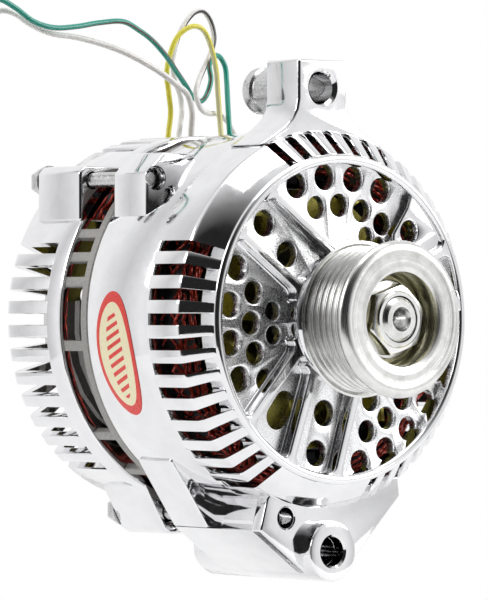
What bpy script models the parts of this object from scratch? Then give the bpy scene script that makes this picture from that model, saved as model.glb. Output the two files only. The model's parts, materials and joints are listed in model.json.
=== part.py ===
"""A large-case car alternator, modelled as the separate pieces it is assembled from.

Run it with blender --background --python part.py, or from Blender's text editor.

Lengths in this file are millimetres, and every mesh is scaled to metres as it is made.
Places are given from the shaft centre: the point on the shaft's axis level with the
front rim, with -Y towards the pulley, +Y towards the regulator, +X to the right as seen
from the pulley, and +Z up. The empty shaft_centre carries every piece from there to the
part's own origin, which is on the pivot bolt's axis at the front face of the pivot boss.
"""

import math

import bmesh
import bpy
from mathutils import Matrix, Vector

MM = 0.001
GAP = 0.3  # air between pieces that touch on the real alternator

# Mounting: two bolts, one above and one below the shaft.
MOUNT_HEIGHT = 88.9  # from the shaft's axis to either mounting bolt
PIVOT_FRONT, PIVOT_BACK = 6.5, 79.0
PIVOT_RADIUS, PIVOT_HOLE = 11.6, 5.75
LUG_FRONT, EAR_BACK = 12.5, 32.0
EAR_HALF_WIDTH, EAR_TOP, EAR_HOLE = 12.2, 99.8, 5.65

# Housings: one outer radius, with the stator's spacer ring between them.
CASE_RADIUS, CASE_WALL = 72.5, 3.5
CASE_INSIDE = CASE_RADIUS - CASE_WALL
RIM_OUTER, RIM_INNER = 63.2, 59.8  # the raised ring round the front face
FACE_FRONT, FACE_BACK = 5.0, 9.0  # the floor of the front face's pockets
SHOULDER_Y = 11.4
FRONT_END = 67.5
REAR_START, REAR_SLOT_START, REAR_FACE = 83.8, 92.6, 119.0
SLOT_WIDTH, SLOT_PITCH, FRONT_SLOT_END = 4.3, 7.5, 29.0

# Through bolts: three, with their ears on both housings.
BOLT_CIRCLE, BOLT_RADIUS, BOLT_HOLE = 78.0, 3.0, 3.4
BOLT_ANGLES = (136.3, 256.3, 16.3)
BOLT_TIPS = (48.0, 22.0, 48.0)
EAR_FRONT_WALL, EAR_REAR_WALL, REAR_EAR_BACK = 44.5, 65.0, 111.0

# Shaft and bearings.
SHAFT_RADIUS, CORE_RADIUS, TAIL_RADIUS = 8.5, 10.0, 7.5
SHAFT_FRONT, SHAFT_STEP, TAIL_STEP, SHAFT_BACK = -33.0, 16.3, 102.6, 115.2
FRONT_BEARING = {"front": 2.0, "back": 16.0, "outer": 23.5, "pitch": 16.0, "ball": 4.4}
REAR_BEARING = {"front": 104.0, "back": 115.0, "outer": 17.5, "pitch": 12.5, "ball": 3.0}
BALLS = 7

# Pulley: six belt grooves.
PULLEY_FRONT, PULLEY_BACK, PULLEY_RADIUS = -34.0, -9.5, 29.8
RECESS_RADIUS, RECESS_FLOOR = 17.5, -22.0
GROOVES, GROOVE_PITCH, GROOVE_CREST, GROOVE_ROOT = 6, 3.4, 27.6, 24.6
NUT_ACROSS_FLATS = 24.0

# Rotor and stator.
STATOR_FRONT, STATOR_BACK, STATOR_OUTER, STATOR_BORE = 31.0, 63.0, 68.4, 52.0
CLAWS, CLAW_RADIUS = 8, 51.3
POLE_PLATES = ((26.5, 38.5, 62.0, 46.7), (67.5, 55.5, 32.0, 47.0))
FAN_BLADES = 12
SLIP_RINGS = ((86.0, 93.0), (95.0, 102.0))

# Spacer ring: its bars stand at these angles past each through bolt.
BAR_OFFSETS = (16, 24, 32, 52, 83, 100)
SPACER_FRONT, SPACER_STRIP, SPACER_BACK = 67.8, 72.0, 83.5

CASE_STEPS, SMALL_STEPS, HOLE_SIDES = 52, 20, 8

FINISHES = {
    "chrome": ((0.78, 0.78, 0.79), 0.08, 1.0),
    "cast": ((0.62, 0.62, 0.60), 0.55, 0.9),
    "steel": ((0.55, 0.56, 0.58), 0.3, 1.0),
    "pulley_steel": ((0.7, 0.7, 0.69), 0.3, 1.0),
    "zinc_yellow": ((0.72, 0.62, 0.18), 0.35, 0.9),
    "laminations": ((0.2, 0.2, 0.21), 0.6, 0.8),
    "copper": ((0.35, 0.06, 0.03), 0.35, 0.3),
    "brass": ((0.75, 0.55, 0.3), 0.3, 1.0),
    "carbon": ((0.05, 0.05, 0.05), 0.6, 0.0),
    "black_plastic": ((0.02, 0.02, 0.02), 0.45, 0.0),
    "bobbin_plastic": ((0.8, 0.75, 0.6), 0.5, 0.0),
    "label_cream": ((0.9, 0.85, 0.6), 0.4, 0.0),
    "yellow_insulation": ((0.8, 0.72, 0.08), 0.4, 0.0),
    "white_insulation": ((0.85, 0.84, 0.8), 0.4, 0.0),
    "green_insulation": ((0.0, 0.35, 0.25), 0.4, 0.0),
}


# ---------------------------------------------------------------- shapes


def polar(radius, degrees):
    """The (x, z) point at this radius and angle round the shaft."""
    return radius * math.cos(math.radians(degrees)), radius * math.sin(math.radians(degrees))


def turned(profile, steps=SMALL_STEPS):
    """A body turned round the shaft's axis from (radius, y) points.

    A profile that starts and ends on the axis is left open there and closes at its poles."""
    bm = bmesh.new()
    points = [bm.verts.new((radius, y, 0)) for radius, y in profile]
    edges = [bm.edges.new(pair) for pair in zip(points, points[1:])]
    if profile[0][0] > 0 or profile[-1][0] > 0:
        edges.append(bm.edges.new((points[-1], points[0])))
    axis = {"cent": (0, 0, 0), "axis": (0, 1, 0), "angle": math.tau, "steps": steps}
    bmesh.ops.spin(bm, geom=points + edges, **axis)
    bmesh.ops.remove_doubles(bm, verts=bm.verts, dist=0.001)
    return bm


def ring(inner, outer, front, back, steps=SMALL_STEPS):
    """A plain ring round the shaft's axis."""
    return turned([(outer, front), (outer, back), (inner, back), (inner, front)], steps)


def prism(outline, front, back):
    """A body with this (x, z) outline, from front to back along Y."""
    bm = bmesh.new()
    face = bm.faces.new([bm.verts.new((x, front, z)) for x, z in outline])
    grown = bmesh.ops.extrude_face_region(bm, geom=[face])["geom"]
    moved = [item for item in grown if isinstance(item, bmesh.types.BMVert)]
    bmesh.ops.translate(bm, verts=moved, vec=(0, back - front, 0))
    return bm


def box(low, high):
    """A body with its sides along the axes, between two corners."""
    corners = [(low[0], low[2]), (high[0], low[2]), (high[0], high[2]), (low[0], high[2])]
    return prism(corners, low[1], high[1])


def bar(radius, front, back, place=(0, 0), sides=HOLE_SIDES, turn=0):
    """A round or many-sided bar along Y, with its axis at this (x, z) place."""
    corners = [polar(radius, turn + 360 * i / sides) for i in range(sides)]
    return prism([(place[0] + x, place[1] + z) for x, z in corners], front, back)


def radial_block(degrees, width, inner, outer, front, back):
    """A block whose length runs outwards from the shaft at this angle."""
    along, across = Vector(polar(1, degrees)), Vector(polar(1, degrees + 90)) * width / 2
    ends = ((inner, -1), (outer, -1), (outer, 1), (inner, 1))
    return prism([along * reach + across * side for reach, side in ends], front, back)


def wall(start, end, width, front, back):
    """A straight wall between two (x, z) points."""
    start, end = Vector(start), Vector(end)
    across = (end - start).orthogonal().normalized() * width / 2
    return prism([start - across, end - across, end + across, start + across], front, back)


def together(shapes):
    """One mesh that holds several separate bodies."""
    joined = bmesh.new()
    for bm in shapes:
        bmesh.ops.recalc_face_normals(bm, faces=bm.faces)
        piece = bpy.data.meshes.new("piece")
        bm.to_mesh(piece)
        bm.free()
        joined.from_mesh(piece)
        bpy.data.meshes.remove(piece)
    return joined


def finish_named(name):
    """The material of this name, made the first time it is asked for."""
    if name in bpy.data.materials:
        return bpy.data.materials[name]
    colour, roughness, metallic = FINISHES[name]
    material = bpy.data.materials.new(name)
    material.use_nodes = True
    shader = material.node_tree.nodes["Principled BSDF"]
    shader.inputs["Base Color"].default_value = (*colour, 1)
    shader.inputs["Roughness"].default_value = roughness
    shader.inputs["Metallic"].default_value = metallic
    material.diffuse_color = (*colour, 1)
    return material


def solid(name, bm, finish):
    """An object in the scene made from this mesh."""
    bmesh.ops.recalc_face_normals(bm, faces=bm.faces)
    mesh = bpy.data.meshes.new(name)
    bm.to_mesh(mesh)
    bm.free()
    mesh.transform(Matrix.Scale(MM, 4))
    mesh.materials.append(finish_named(finish))
    obj = bpy.data.objects.new(name, mesh)
    bpy.context.scene.collection.objects.link(obj)
    return obj


def change(obj, shapes, operation):
    """Joins shapes to an object, or cuts them from it, and leaves no helper behind."""
    tool = solid("tool", together(shapes), "steel")
    modifier = obj.modifiers.new(operation, "BOOLEAN")
    modifier.operation = operation
    modifier.solver = "EXACT"
    modifier.object = tool
    bpy.context.view_layer.objects.active = obj
    bpy.ops.object.modifier_apply(modifier=modifier.name)
    bpy.data.objects.remove(tool)


def join(obj, *shapes):
    """Joins overlapping shapes one after another, so that they end as one body."""
    for bm in shapes:
        change(obj, [bm], "UNION")


def cut(obj, *shapes):
    """Cuts shapes that are clear of each other, all at once."""
    change(obj, shapes, "DIFFERENCE")


# ---------------------------------------------------------------- front housing


def slots(angles, inner, outer, front, back):
    """Cutters for the ventilation slots at these angles."""
    return [radial_block(a, SLOT_WIDTH, inner, outer, front, back) for a in angles]


def every_slot(first, last):
    """The slot angles from first to last, in steps of the slots' pitch."""
    count = round((last - first) / SLOT_PITCH) + 1
    return [first + SLOT_PITCH * i for i in range(count)]


def ear_outline():
    """The upper mounting ear: straight sides, rounded top corners, flared feet."""
    right = [(EAR_HALF_WIDTH - 3.6, EAR_TOP), (EAR_HALF_WIDTH - 1, EAR_TOP - 1)]
    right += [(EAR_HALF_WIDTH, EAR_TOP - 3.6), (EAR_HALF_WIDTH, 84), (14.5, 77.5), (20, 72.5), (31, 66.5)]
    left = [(-x, z) for x, z in reversed(right)]
    return left + right + [(18, 58), (-18, 58)]


def tangent_point(point, side):
    """Where the line from a point touches the pivot boss, on the side that faces down."""
    to_point = Vector(point) - Vector((0, -MOUNT_HEIGHT))
    spread = math.acos(PIVOT_RADIUS / to_point.length) * side
    angle = math.atan2(to_point.y, to_point.x) + spread
    x, z = polar(PIVOT_RADIUS - 0.1, math.degrees(angle))
    return x, z - MOUNT_HEIGHT


def pivot_lug_outline():
    """The plate round the pivot boss, with its sides running down to the boss."""
    left, right = (-31.2, -80.3), (17.3, -91.0)
    upper = [(39.5, -68.8), (38, -57), (-24, -60), (-27.8, -68.3)]
    return [left, tangent_point(left, 1), tangent_point(right, -1), right] + upper


FRONT_EARS = (
    [(-61, 38), (-61, 55.8), (-52.5, 63.8), (-38, 63.8), (-34, 50), (-50, 36)],
    [(-49.5, -53), (-31.2, -80.3), (-6, -80.3), (-6, -60), (-38, -48)],
    [(66, 8), (81, 13), (82, 26), (78, 31), (62, 36), (60, 20)],
)

# Each row of face holes: radius of the row, first angle, step, count, hole radius.
FACE_HOLES = (
    (54.5, 65.3, 15.25, 4, 4.75),
    (43.7, 57.1, 15.25, 4, 4.25),
    (35.5, 51.7, 12.3, 2, 3.5),
    (52.5, 158.3, 15.7, 4, 4.75),
    (42.0, 166.1, 15.8, 4, 4.25),
    (31.5, 174.3, 16.7, 2, 3.5),
    (56.2, 282.7, 14.2, 5, 4.4),
    (46.0, 290.3, 13.8, 3, 4.15),
    (36.0, 299.7, 22, 2, 4.0),
    (34.6, 134.5, 0, 1, 4.8),
    (50.8, 134.5, 0, 1, 4.8),
    (36.3, 261.0, 0, 1, 4.8),
    (52.0, 259.4, 0, 1, 4.8),
    (35.0, 14.0, 0, 1, 4.8),
    (51.0, 14.0, 0, 1, 4.8),
    (48.4, 44.2, 0, 1, 4.4),
    (38.0, 343.0, 14, 1, 4.0),
)

# Ribs on the front face, as (x, z) from the rim to the hub.
FACE_RIBS = (
    ((-36.5, 49.3), (-5.0, 26.4)),
    ((-51.0, 32.9), (-22.0, 12.4)),
    ((-48.5, -38.5), (-20.5, -17.0)),
    ((-25.2, -56.0), (-11.5, -24.0)),
    ((-3.0, -60.6), (7.2, -26.0)),
    ((59.5, 12.5), (26.0, 2.5)),
)
RAISED_CORNER = ((25.6, 14.0), (26.4, 32.5), (33.6, 43.0), (35.6, 49.5))


def face_features():
    """The hub boss, the ribs and the raised corner, all level with the rim or above it."""
    arc = [polar(61, degrees) for degrees in (54, 45, 36, 27, 18)]
    ribs = [wall(start, end, 4.2, 0.2, 6.5) for start, end in FACE_RIBS]
    return [prism([*RAISED_CORNER, *arc], 0.4, 6.5), *ribs]


def face_hole_cutters():
    """Cutters for every round hole in the front face, and the one long one."""
    holes = []
    for radius, first, step, count, hole in FACE_HOLES:
        places = [polar(radius, first + step * i) for i in range(count)]
        holes += [bar(hole, -2, 12, place) for place in places]
    long_hole = wall(polar(37.5, 231.2), polar(51.0, 231.2), 10.0, -2, 12)
    return [*holes, long_hole]


def front_housing():
    hub_front, hub_radius, hub_hole = -3.0, 27.0, 13.5
    outside = [(hub_hole, hub_front), (hub_radius, hub_front), (hub_radius, FACE_FRONT)]
    outside += [(RIM_INNER, FACE_FRONT), (RIM_INNER, 0), (RIM_OUTER, 0), (RIM_OUTER, 1.5)]
    outside += [(CASE_RADIUS, SHOULDER_Y), (CASE_RADIUS, FRONT_END), (hub_hole, FRONT_END)]
    housing = solid("front_housing", turned(outside, CASE_STEPS), "chrome")
    bolt_tube = bar(9.3, LUG_FRONT, EAR_REAR_WALL, polar(BOLT_CIRCLE, BOLT_ANGLES[1]), 16)
    pivot_tube = bar(PIVOT_RADIUS, PIVOT_FRONT, PIVOT_BACK, (0, -MOUNT_HEIGHT), 24)
    lower_block = [(-31.2, -80.3), tangent_point((-31.2, -80.3), 1), tangent_point((17.3, -91.0), -1)]
    lower_block += [(17.3, -91.0), (39.5, -68.8), (38, -57), (14, -60), (14, -80.3)]
    join(
        housing,
        prism(ear_outline(), LUG_FRONT, EAR_BACK),
        prism(pivot_lug_outline(), LUG_FRONT, LUG_FRONT + 5),
        prism(lower_block, LUG_FRONT + 1, EAR_REAR_WALL),
        bolt_tube,
        pivot_tube,
        *[prism(outline, EAR_FRONT_WALL, EAR_REAR_WALL) for outline in FRONT_EARS],
        *face_features(),
    )
    boss_back, boss_outer, pocket = 17.0, 31.0, FRONT_BEARING["outer"] + GAP
    inside = [(0, 1), (pocket, 1), (pocket, boss_back), (boss_outer, boss_back)]
    inside += [(boss_outer, FACE_BACK), (RIM_OUTER + 0.4, FACE_BACK), (CASE_INSIDE, 15.5)]
    inside += [(CASE_INSIDE, FRONT_END + 1), (0, FRONT_END + 1)]
    cut(housing, turned(inside, CASE_STEPS))
    left, right, ear, foot = (every_slot(*span) for span in SLOT_SPANS)
    cut(housing, *slots(left + right, RIM_OUTER + 0.1, 80, -1, FRONT_SLOT_END))
    cut(housing, *slots(ear + foot, RIM_OUTER + 0.1, 75, -1, FRONT_SLOT_END))
    cut(housing, *face_hole_cutters(), *retainer_screw_holes(2.2))
    bolts = [polar(BOLT_CIRCLE, angle) for angle in BOLT_ANGLES]
    cut(
        housing,
        bar(EAR_HOLE, LUG_FRONT - 2, EAR_BACK + 2, (0, MOUNT_HEIGHT), 20),
        bar(PIVOT_HOLE, PIVOT_FRONT - 2, PIVOT_BACK + 2, (0, -MOUNT_HEIGHT), 20),
        *[bar(BOLT_HOLE, LUG_FRONT - 2, EAR_REAR_WALL + 2, bolt, 12) for bolt in bolts],
    )
    cut(housing, bar(4.1, LUG_FRONT - 2, LUG_FRONT + 6, bolts[1], 12))
    return housing


# Slot runs on the front housing: left, right, those under the ear, those over the pivot lug.
SLOT_SPANS = ((157.5, 240), (307.5 - 360, 60), (67.5, 112.5), (285, 300))


def retainer_screw_holes(radius):
    """Cutters for the three screws that hold the front bearing's retainer."""
    return [bar(radius, 10.5, 22, polar(27.3, degrees), 8) for degrees in RETAINER_SCREW_ANGLES]


RETAINER_SCREW_ANGLES = (30, 150, 270)


# ---------------------------------------------------------------- rear housing and spacer

REAR_EARS = (
    [(-62.7, 36), (-62.7, 57), (-60, 59.6), (-40, 59.6), (-36, 50), (-52, 34)],
    [(-36, -58), (-21, -82.6), (-18, -84.4), (-6, -84.4), (0, -66), (-24, -56)],
    [(66, 8), (81, 13), (82, 26), (78, 31), (62, 36), (60, 20)],
)
STUD_PLACE = polar(44.0, 330)


def rear_slot_angles():
    """Slots all round on the same pitch, apart from the stretches beside the bolt ears."""
    angles = [SLOT_PITCH * i for i in range(round(360 / SLOT_PITCH))]
    apart = [min(abs((a - b + 180) % 360 - 180) for b in BOLT_ANGLES) for a in angles]
    return [angle for angle, distance in zip(angles, apart) if distance > 17]


def rear_housing():
    outside = [(0, REAR_START), (CASE_RADIUS, REAR_START), (CASE_RADIUS, REAR_FACE - 2)]
    outside += [(CASE_RADIUS - 2, REAR_FACE), (21, REAR_FACE), (20, REAR_FACE + 2.5)]
    outside += [(0, REAR_FACE + 2.5)]
    housing = solid("rear_housing", turned(outside, CASE_STEPS), "chrome")
    join(housing, *[prism(ear, REAR_START, REAR_EAR_BACK) for ear in REAR_EARS])
    pocket, boss = REAR_BEARING["outer"] + GAP, 22.0
    inside = [(0, REAR_START - 1), (CASE_INSIDE, REAR_START - 1), (CASE_INSIDE, 114.5)]
    inside += [(boss, 114.5), (boss, 103), (pocket, 103), (pocket, 115.5), (0, 115.5)]
    cut(housing, turned(inside, CASE_STEPS))
    cut(housing, *slots(rear_slot_angles(), 54, 80, REAR_SLOT_START, REAR_FACE + 2))
    vents = [bar(4.0, 112, 121, polar(36, 15 + 30 * i)) for i in range(12)]
    bolts = [bar(BOLT_HOLE, 82, 113, polar(BOLT_CIRCLE, angle), 12) for angle in BOLT_ANGLES]
    cut(housing, *vents, *bolts, bar(6.0, 112, 121, STUD_PLACE, 12))
    return housing


def spacer_ring():
    """The cast ring between the housings: a full strip with bars reaching back from it."""
    inner, outer = 68.2, 71.8
    spacer = solid("spacer_ring", ring(inner, outer, SPACER_FRONT, SPACER_STRIP, CASE_STEPS), "cast")
    angles = [bolt + offset for bolt in BOLT_ANGLES for offset in BAR_OFFSETS]
    bars = [radial_block(a, 4.0, inner + 0.2, outer, SPACER_STRIP - 1, SPACER_BACK) for a in angles]
    change(spacer, bars, "UNION")


# ---------------------------------------------------------------- stator


def stator():
    core = ring(STATOR_BORE, STATOR_OUTER, STATOR_FRONT, STATOR_BACK, 36)
    solid("stator_core", core, "laminations")
    for name, root, tip in (("front", 30.6, 16.6), ("rear", 63.4, 82.0)):
        out = 1 if tip > root else -1
        profile = [(55.5, root), (66.3, root), (66.3, tip - 4 * out), (64, tip - out)]
        profile += [(60.5, tip), (57, tip - out)]
        solid(f"stator_winding_{name}", turned(profile, 32), "copper")


# ---------------------------------------------------------------- rotor


def rotor_shaft():
    centre_drill = 2.85
    profile = [(0, -25), (centre_drill, -26.5), (centre_drill, SHAFT_FRONT), (7.6, SHAFT_FRONT)]
    profile += [(SHAFT_RADIUS, SHAFT_FRONT + 1), (SHAFT_RADIUS, SHAFT_STEP)]
    profile += [(CORE_RADIUS, SHAFT_STEP), (CORE_RADIUS, TAIL_STEP), (TAIL_RADIUS, TAIL_STEP)]
    profile += [(TAIL_RADIUS, SHAFT_BACK - 1), (TAIL_RADIUS - 1, SHAFT_BACK), (0, SHAFT_BACK)]
    return solid("rotor_shaft", turned(profile), "steel")


def pulley():
    bore, first = SHAFT_RADIUS + GAP, PULLEY_FRONT + 3.2
    profile = [(RECESS_RADIUS, PULLEY_FRONT), (PULLEY_RADIUS - 1, PULLEY_FRONT)]
    profile += [(PULLEY_RADIUS, PULLEY_FRONT + 1), (PULLEY_RADIUS, first - 0.6)]
    for i in range(GROOVES):
        start = first + GROOVE_PITCH * i
        profile += [(GROOVE_CREST, start), (GROOVE_ROOT, start + GROOVE_PITCH / 2)]
    last = first + GROOVE_PITCH * GROOVES
    profile += [(GROOVE_CREST, last), (PULLEY_RADIUS, PULLEY_BACK - 0.6)]
    profile += [(PULLEY_RADIUS, PULLEY_BACK), (bore, PULLEY_BACK), (bore, RECESS_FLOOR)]
    profile += [(RECESS_RADIUS, RECESS_FLOOR)]
    solid("pulley", turned(profile, 32), "pulley_steel")
    nut = bar(NUT_ACROSS_FLATS / 2 / math.cos(math.pi / 6), -31.5, RECESS_FLOOR - GAP, sides=6)
    nut = solid("pulley_nut", nut, "steel")
    cut(nut, bar(SHAFT_RADIUS + GAP, -35, -20, sides=SMALL_STEPS))
    collar = ring(bore, 13.0, PULLEY_BACK + GAP, FRONT_BEARING["front"] - GAP)
    solid("shaft_collar", collar, "steel")


def claw(place, root, plate_back, tip, sign):
    """One claw: an arm of the pole plate and the finger that tapers over the field coil."""
    inner, depth = 43.0, CLAW_RADIUS
    arm = [polar(r, place + a) for r, a in ((30, -12), (depth, -11), (depth, 11), (30, 12))]
    wide = [polar(r, place + a) for r, a in ((inner, -10), (depth, -10), (depth, 10), (inner, 10))]
    narrow = [polar(r, place + a) for r, a in ((46, -4.5), (depth, -4.5), (depth, 4.5), (46, 4.5))]
    bm = bmesh.new()
    base = [bm.verts.new((x, plate_back - 2 * sign, z)) for x, z in wide]
    end = [bm.verts.new((x, tip, z)) for x, z in narrow]
    bm.faces.new(base)
    bm.faces.new(end)
    for i in range(4):
        bm.faces.new((base[i], base[i - 1], end[i - 1], end[i]))
    return prism(arm, root, plate_back), bm


def pole_claws():
    """Two pole pieces whose claws stand between each other's."""
    for name, (root, plate_back, tip, core_end) in zip(("front", "rear"), POLE_PLATES):
        sign = 1 if tip > root else -1
        turn = 0 if sign > 0 else 180 / CLAWS
        bore = CORE_RADIUS + GAP
        profile = [(bore, root), (36, root), (36, plate_back), (20, plate_back)]
        profile += [(20, core_end), (bore, core_end)]
        pole = solid(f"{name}_pole_claws", turned(profile, 16), "steel")
        places = [turn + 360 * i / CLAWS for i in range(CLAWS)]
        arms, fingers = zip(*[claw(p, root, plate_back, tip, sign) for p in places])
        change(pole, arms, "UNION")
        change(pole, fingers, "UNION")


def field_coil():
    bobbin = [(20.4, 38.9), (42, 38.9), (42, 40.1), (21.6, 40.1), (21.6, 53.9), (42, 53.9)]
    bobbin += [(42, 55.1), (20.4, 55.1)]
    solid("field_bobbin", turned(bobbin), "bobbin_plastic")
    solid("field_coil", ring(22.0, 41.4, 40.4, 53.6), "copper")


def fans():
    """Two pressed fans, with their blades pointing away from the rotor."""
    for name, disc, blade_end in (("front", (24.8, 26.2), 12.6), ("rear", (67.8, 69.2), 81.0)):
        near = disc[1] if blade_end > disc[1] else disc[0]
        root = near - 0.7 if blade_end > near else near + 0.7
        fan = solid(f"{name}_fan", ring(CORE_RADIUS + GAP, 50.5, *disc, 24), "zinc_yellow")
        blades = []
        for i in range(FAN_BLADES):
            degrees = 360 * i / FAN_BLADES
            start, end = polar(33.5, degrees), polar(50.0, degrees - 22)
            blades.append(wall(start, end, 1.4, min(root, blade_end), max(root, blade_end)))
        change(fan, blades, "UNION")


def slip_rings():
    bore = CORE_RADIUS + GAP
    solid("slip_ring_hub", ring(bore, 12.7, 85.0, 102.3), "black_plastic")
    for name, (front, back) in zip(("front", "rear"), SLIP_RINGS):
        solid(f"{name}_slip_ring", ring(13.0, 15.0, front, back), "brass")


def bearing(name, sizes, bore):
    """A ball bearing: its two races, and its balls held in one cage."""
    front, back, pitch, ball = (sizes[key] for key in ("front", "back", "pitch", "ball"))
    inner_race, outer_race = pitch - ball - GAP, pitch + ball + GAP
    solid(f"{name}_bearing_inner_race", ring(bore, inner_race, front, back), "steel")
    solid(f"{name}_bearing_outer_race", ring(outer_race, sizes["outer"], front, back), "steel")
    middle = (front + back) / 2
    cage = ring(pitch - 1.2, pitch + 1.2, middle - 1.5, middle + 1.5, 14)
    cage = solid(f"{name}_bearing_balls", cage, "steel")
    balls = []
    for i in range(BALLS):
        x, z = polar(pitch, 360 * i / BALLS)
        bm = bmesh.new()
        place = Matrix.Translation((x, middle, z))
        bmesh.ops.create_icosphere(bm, subdivisions=2, radius=ball, matrix=place)
        balls.append(bm)
    change(cage, balls, "UNION")


def bearing_retainer():
    plate = solid("bearing_retainer", ring(19.5, 30.5, 17.3, 19.3), "steel")
    cut(plate, *retainer_screw_holes(2.2))
    for number, degrees in enumerate(RETAINER_SCREW_ANGLES, 1):
        place = polar(27.3, degrees)
        screw = solid(f"retainer_screw_{number}", bar(1.9, 11.5, 20.5, place, 8), "steel")
        join(screw, bar(3.4, 19.6, 22.0, place, 8))


# ---------------------------------------------------------------- fasteners and electrics


def through_bolts():
    for number, (degrees, tip) in enumerate(zip(BOLT_ANGLES, BOLT_TIPS), 1):
        place = polar(BOLT_CIRCLE, degrees)
        bolt = bar(BOLT_RADIUS, tip, REAR_EAR_BACK + 2, place, 12)
        bolt = solid(f"through_bolt_{number}", bolt, "steel")
        join(bolt, bar(5.7, REAR_EAR_BACK + GAP, REAR_EAR_BACK + 6, place, 6))


def ear_bushing():
    """The flanged sleeve behind the upper ear, which takes the adjusting bolt."""
    low, high = EAR_BACK + GAP, 51.0
    profile = [(EAR_HOLE, low), (8.2, low), (8.2, 45.5), (9.1, 46.5), (9.1, high - 0.6)]
    profile += [(8.4, high), (EAR_HOLE, high)]
    bushing = turned(profile)
    bmesh.ops.translate(bushing, verts=bushing.verts, vec=(0, 0, MOUNT_HEIGHT))
    solid("ear_bushing", bushing, "steel")


def brush_gear():
    """The holder, with two brushes and their springs standing in it above the slip rings."""
    holder = solid("brush_holder", box((-9, 86, 16), (9, 102.4, 44)), "black_plastic")
    places = [(front + back) / 2 for front, back in SLIP_RINGS]
    cut(holder, *[box((-3.3, y - 2.3, 15), (3.3, y + 2.3, 41)) for y in places])
    for number, y in enumerate(places, 1):
        solid(f"brush_{number}", box((-3, y - 2, 15.3), (3, y + 2, 32)), "carbon")
        spring = bar(1.7, 32.3, 40.7)
        bmesh.ops.rotate(spring, verts=spring.verts, matrix=Matrix.Rotation(math.pi / 2, 3, "X"))
        bmesh.ops.translate(spring, verts=spring.verts, vec=(0, y, 0))
        solid(f"brush_spring_{number}", spring, "steel")


def arc_plate(inner, outer, first, last, front, back):
    """A flat plate bent round the shaft, from one angle to another."""
    steps = 14
    angles = [first + (last - first) * i / steps for i in range(steps + 1)]
    outline = [polar(outer, a) for a in angles] + [polar(inner, a) for a in reversed(angles)]
    return prism(outline, front, back)


def rectifier():
    """Two heat-sink plates, each with three diodes standing in it."""
    layers = (("positive", 98.5, 101.5, (190, 260, 320)), ("negative", 106.5, 109.5, (215, 290, 350)))
    number = 0
    for name, front, back, angles in layers:
        plate = arc_plate(28, 52, 172, 368, front, back)
        plate = solid(f"{name}_rectifier_plate", plate, "cast")
        places = [polar(40, degrees) for degrees in angles]
        cut(plate, *[bar(6.3, front - 1, back + 1, place, 12) for place in places])
        for place in places:
            number += 1
            solid(f"diode_{number}", bar(6.0, front - 2, back + 1.5, place, 12), "steel")


def output_stud():
    """The battery terminal: a stud in an insulating bush, with its nut."""
    x, z = STUD_PLACE
    solid("output_stud", bar(3.5, 112.0, 142.0, STUD_PLACE, 12), "steel")
    bush = solid("output_stud_insulator", bar(5.7, 114, 121, STUD_PLACE, 12), "black_plastic")
    join(bush, box((x - 9, REAR_FACE + GAP, z - 9), (x + 9, 123.0, z + 9)))
    cut(bush, bar(3.8, 110, 130, STUD_PLACE, 12))
    nut = solid("output_stud_nut", bar(7.5, 123.3, 129.3, STUD_PLACE, 6), "brass")
    cut(nut, bar(3.8, 120, 132, STUD_PLACE, 12))


PLUG_FLOOR, PLUG_TOP, PLUG_Y = 50.3, 60.0, 127.5


def regulator():
    """The regulator on the back of the rear housing, and the two plugs of its harness."""
    body = box((8, REAR_FACE + 0.4, 24), (62, 133, 50))
    body = solid("regulator", body, "black_plastic")
    fins = [box((x, 132, 26), (x + 2.4, 138, 48)) for x in range(12, 59, 6)]
    change(body, fins, "UNION")
    plug_y = (PLUG_Y - 4.5, PLUG_Y + 4.5)
    for side, low, high in (("left", 11, 31), ("right", 39, 57)):
        plug = box((low, plug_y[0], PLUG_FLOOR), (high, plug_y[1], PLUG_TOP))
        solid(f"harness_plug_{side}", plug, "black_plastic")


def oval_label():
    """The oval label on the left of the front housing, bent to the barrel."""
    half_height, half_width, middle, degrees, steps = 24.5, 11.0, 50.0, 190.8, 14
    bm = bmesh.new()
    rows = []
    for i in range(steps + 1):
        along = half_height * math.cos(math.pi * i / steps)
        half = half_width * math.sin(math.pi * i / steps)
        angle = degrees + math.degrees(along / CASE_RADIUS)
        for radius in (CASE_RADIUS + GAP, CASE_RADIUS + GAP + 0.3):
            x, z = polar(radius, angle)
            rows.append([bm.verts.new((x, middle + side * half, z)) for side in (-1, 1)])
    for inner, outer, next_inner, next_outer in zip(rows[::2], rows[1::2], rows[2::2], rows[3::2]):
        for one, other in ((outer, next_outer), (inner, next_inner)):
            bm.faces.new((one[0], one[1], other[1], other[0]))
        for side in (0, 1):
            bm.faces.new((inner[side], outer[side], next_outer[side], next_inner[side]))
    bmesh.ops.remove_doubles(bm, verts=bm.verts, dist=0.01)
    bmesh.ops.dissolve_degenerate(bm, edges=bm.edges, dist=0.01)
    solid("oval_label", bm, "label_cream")


# ---------------------------------------------------------------- wires

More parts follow.
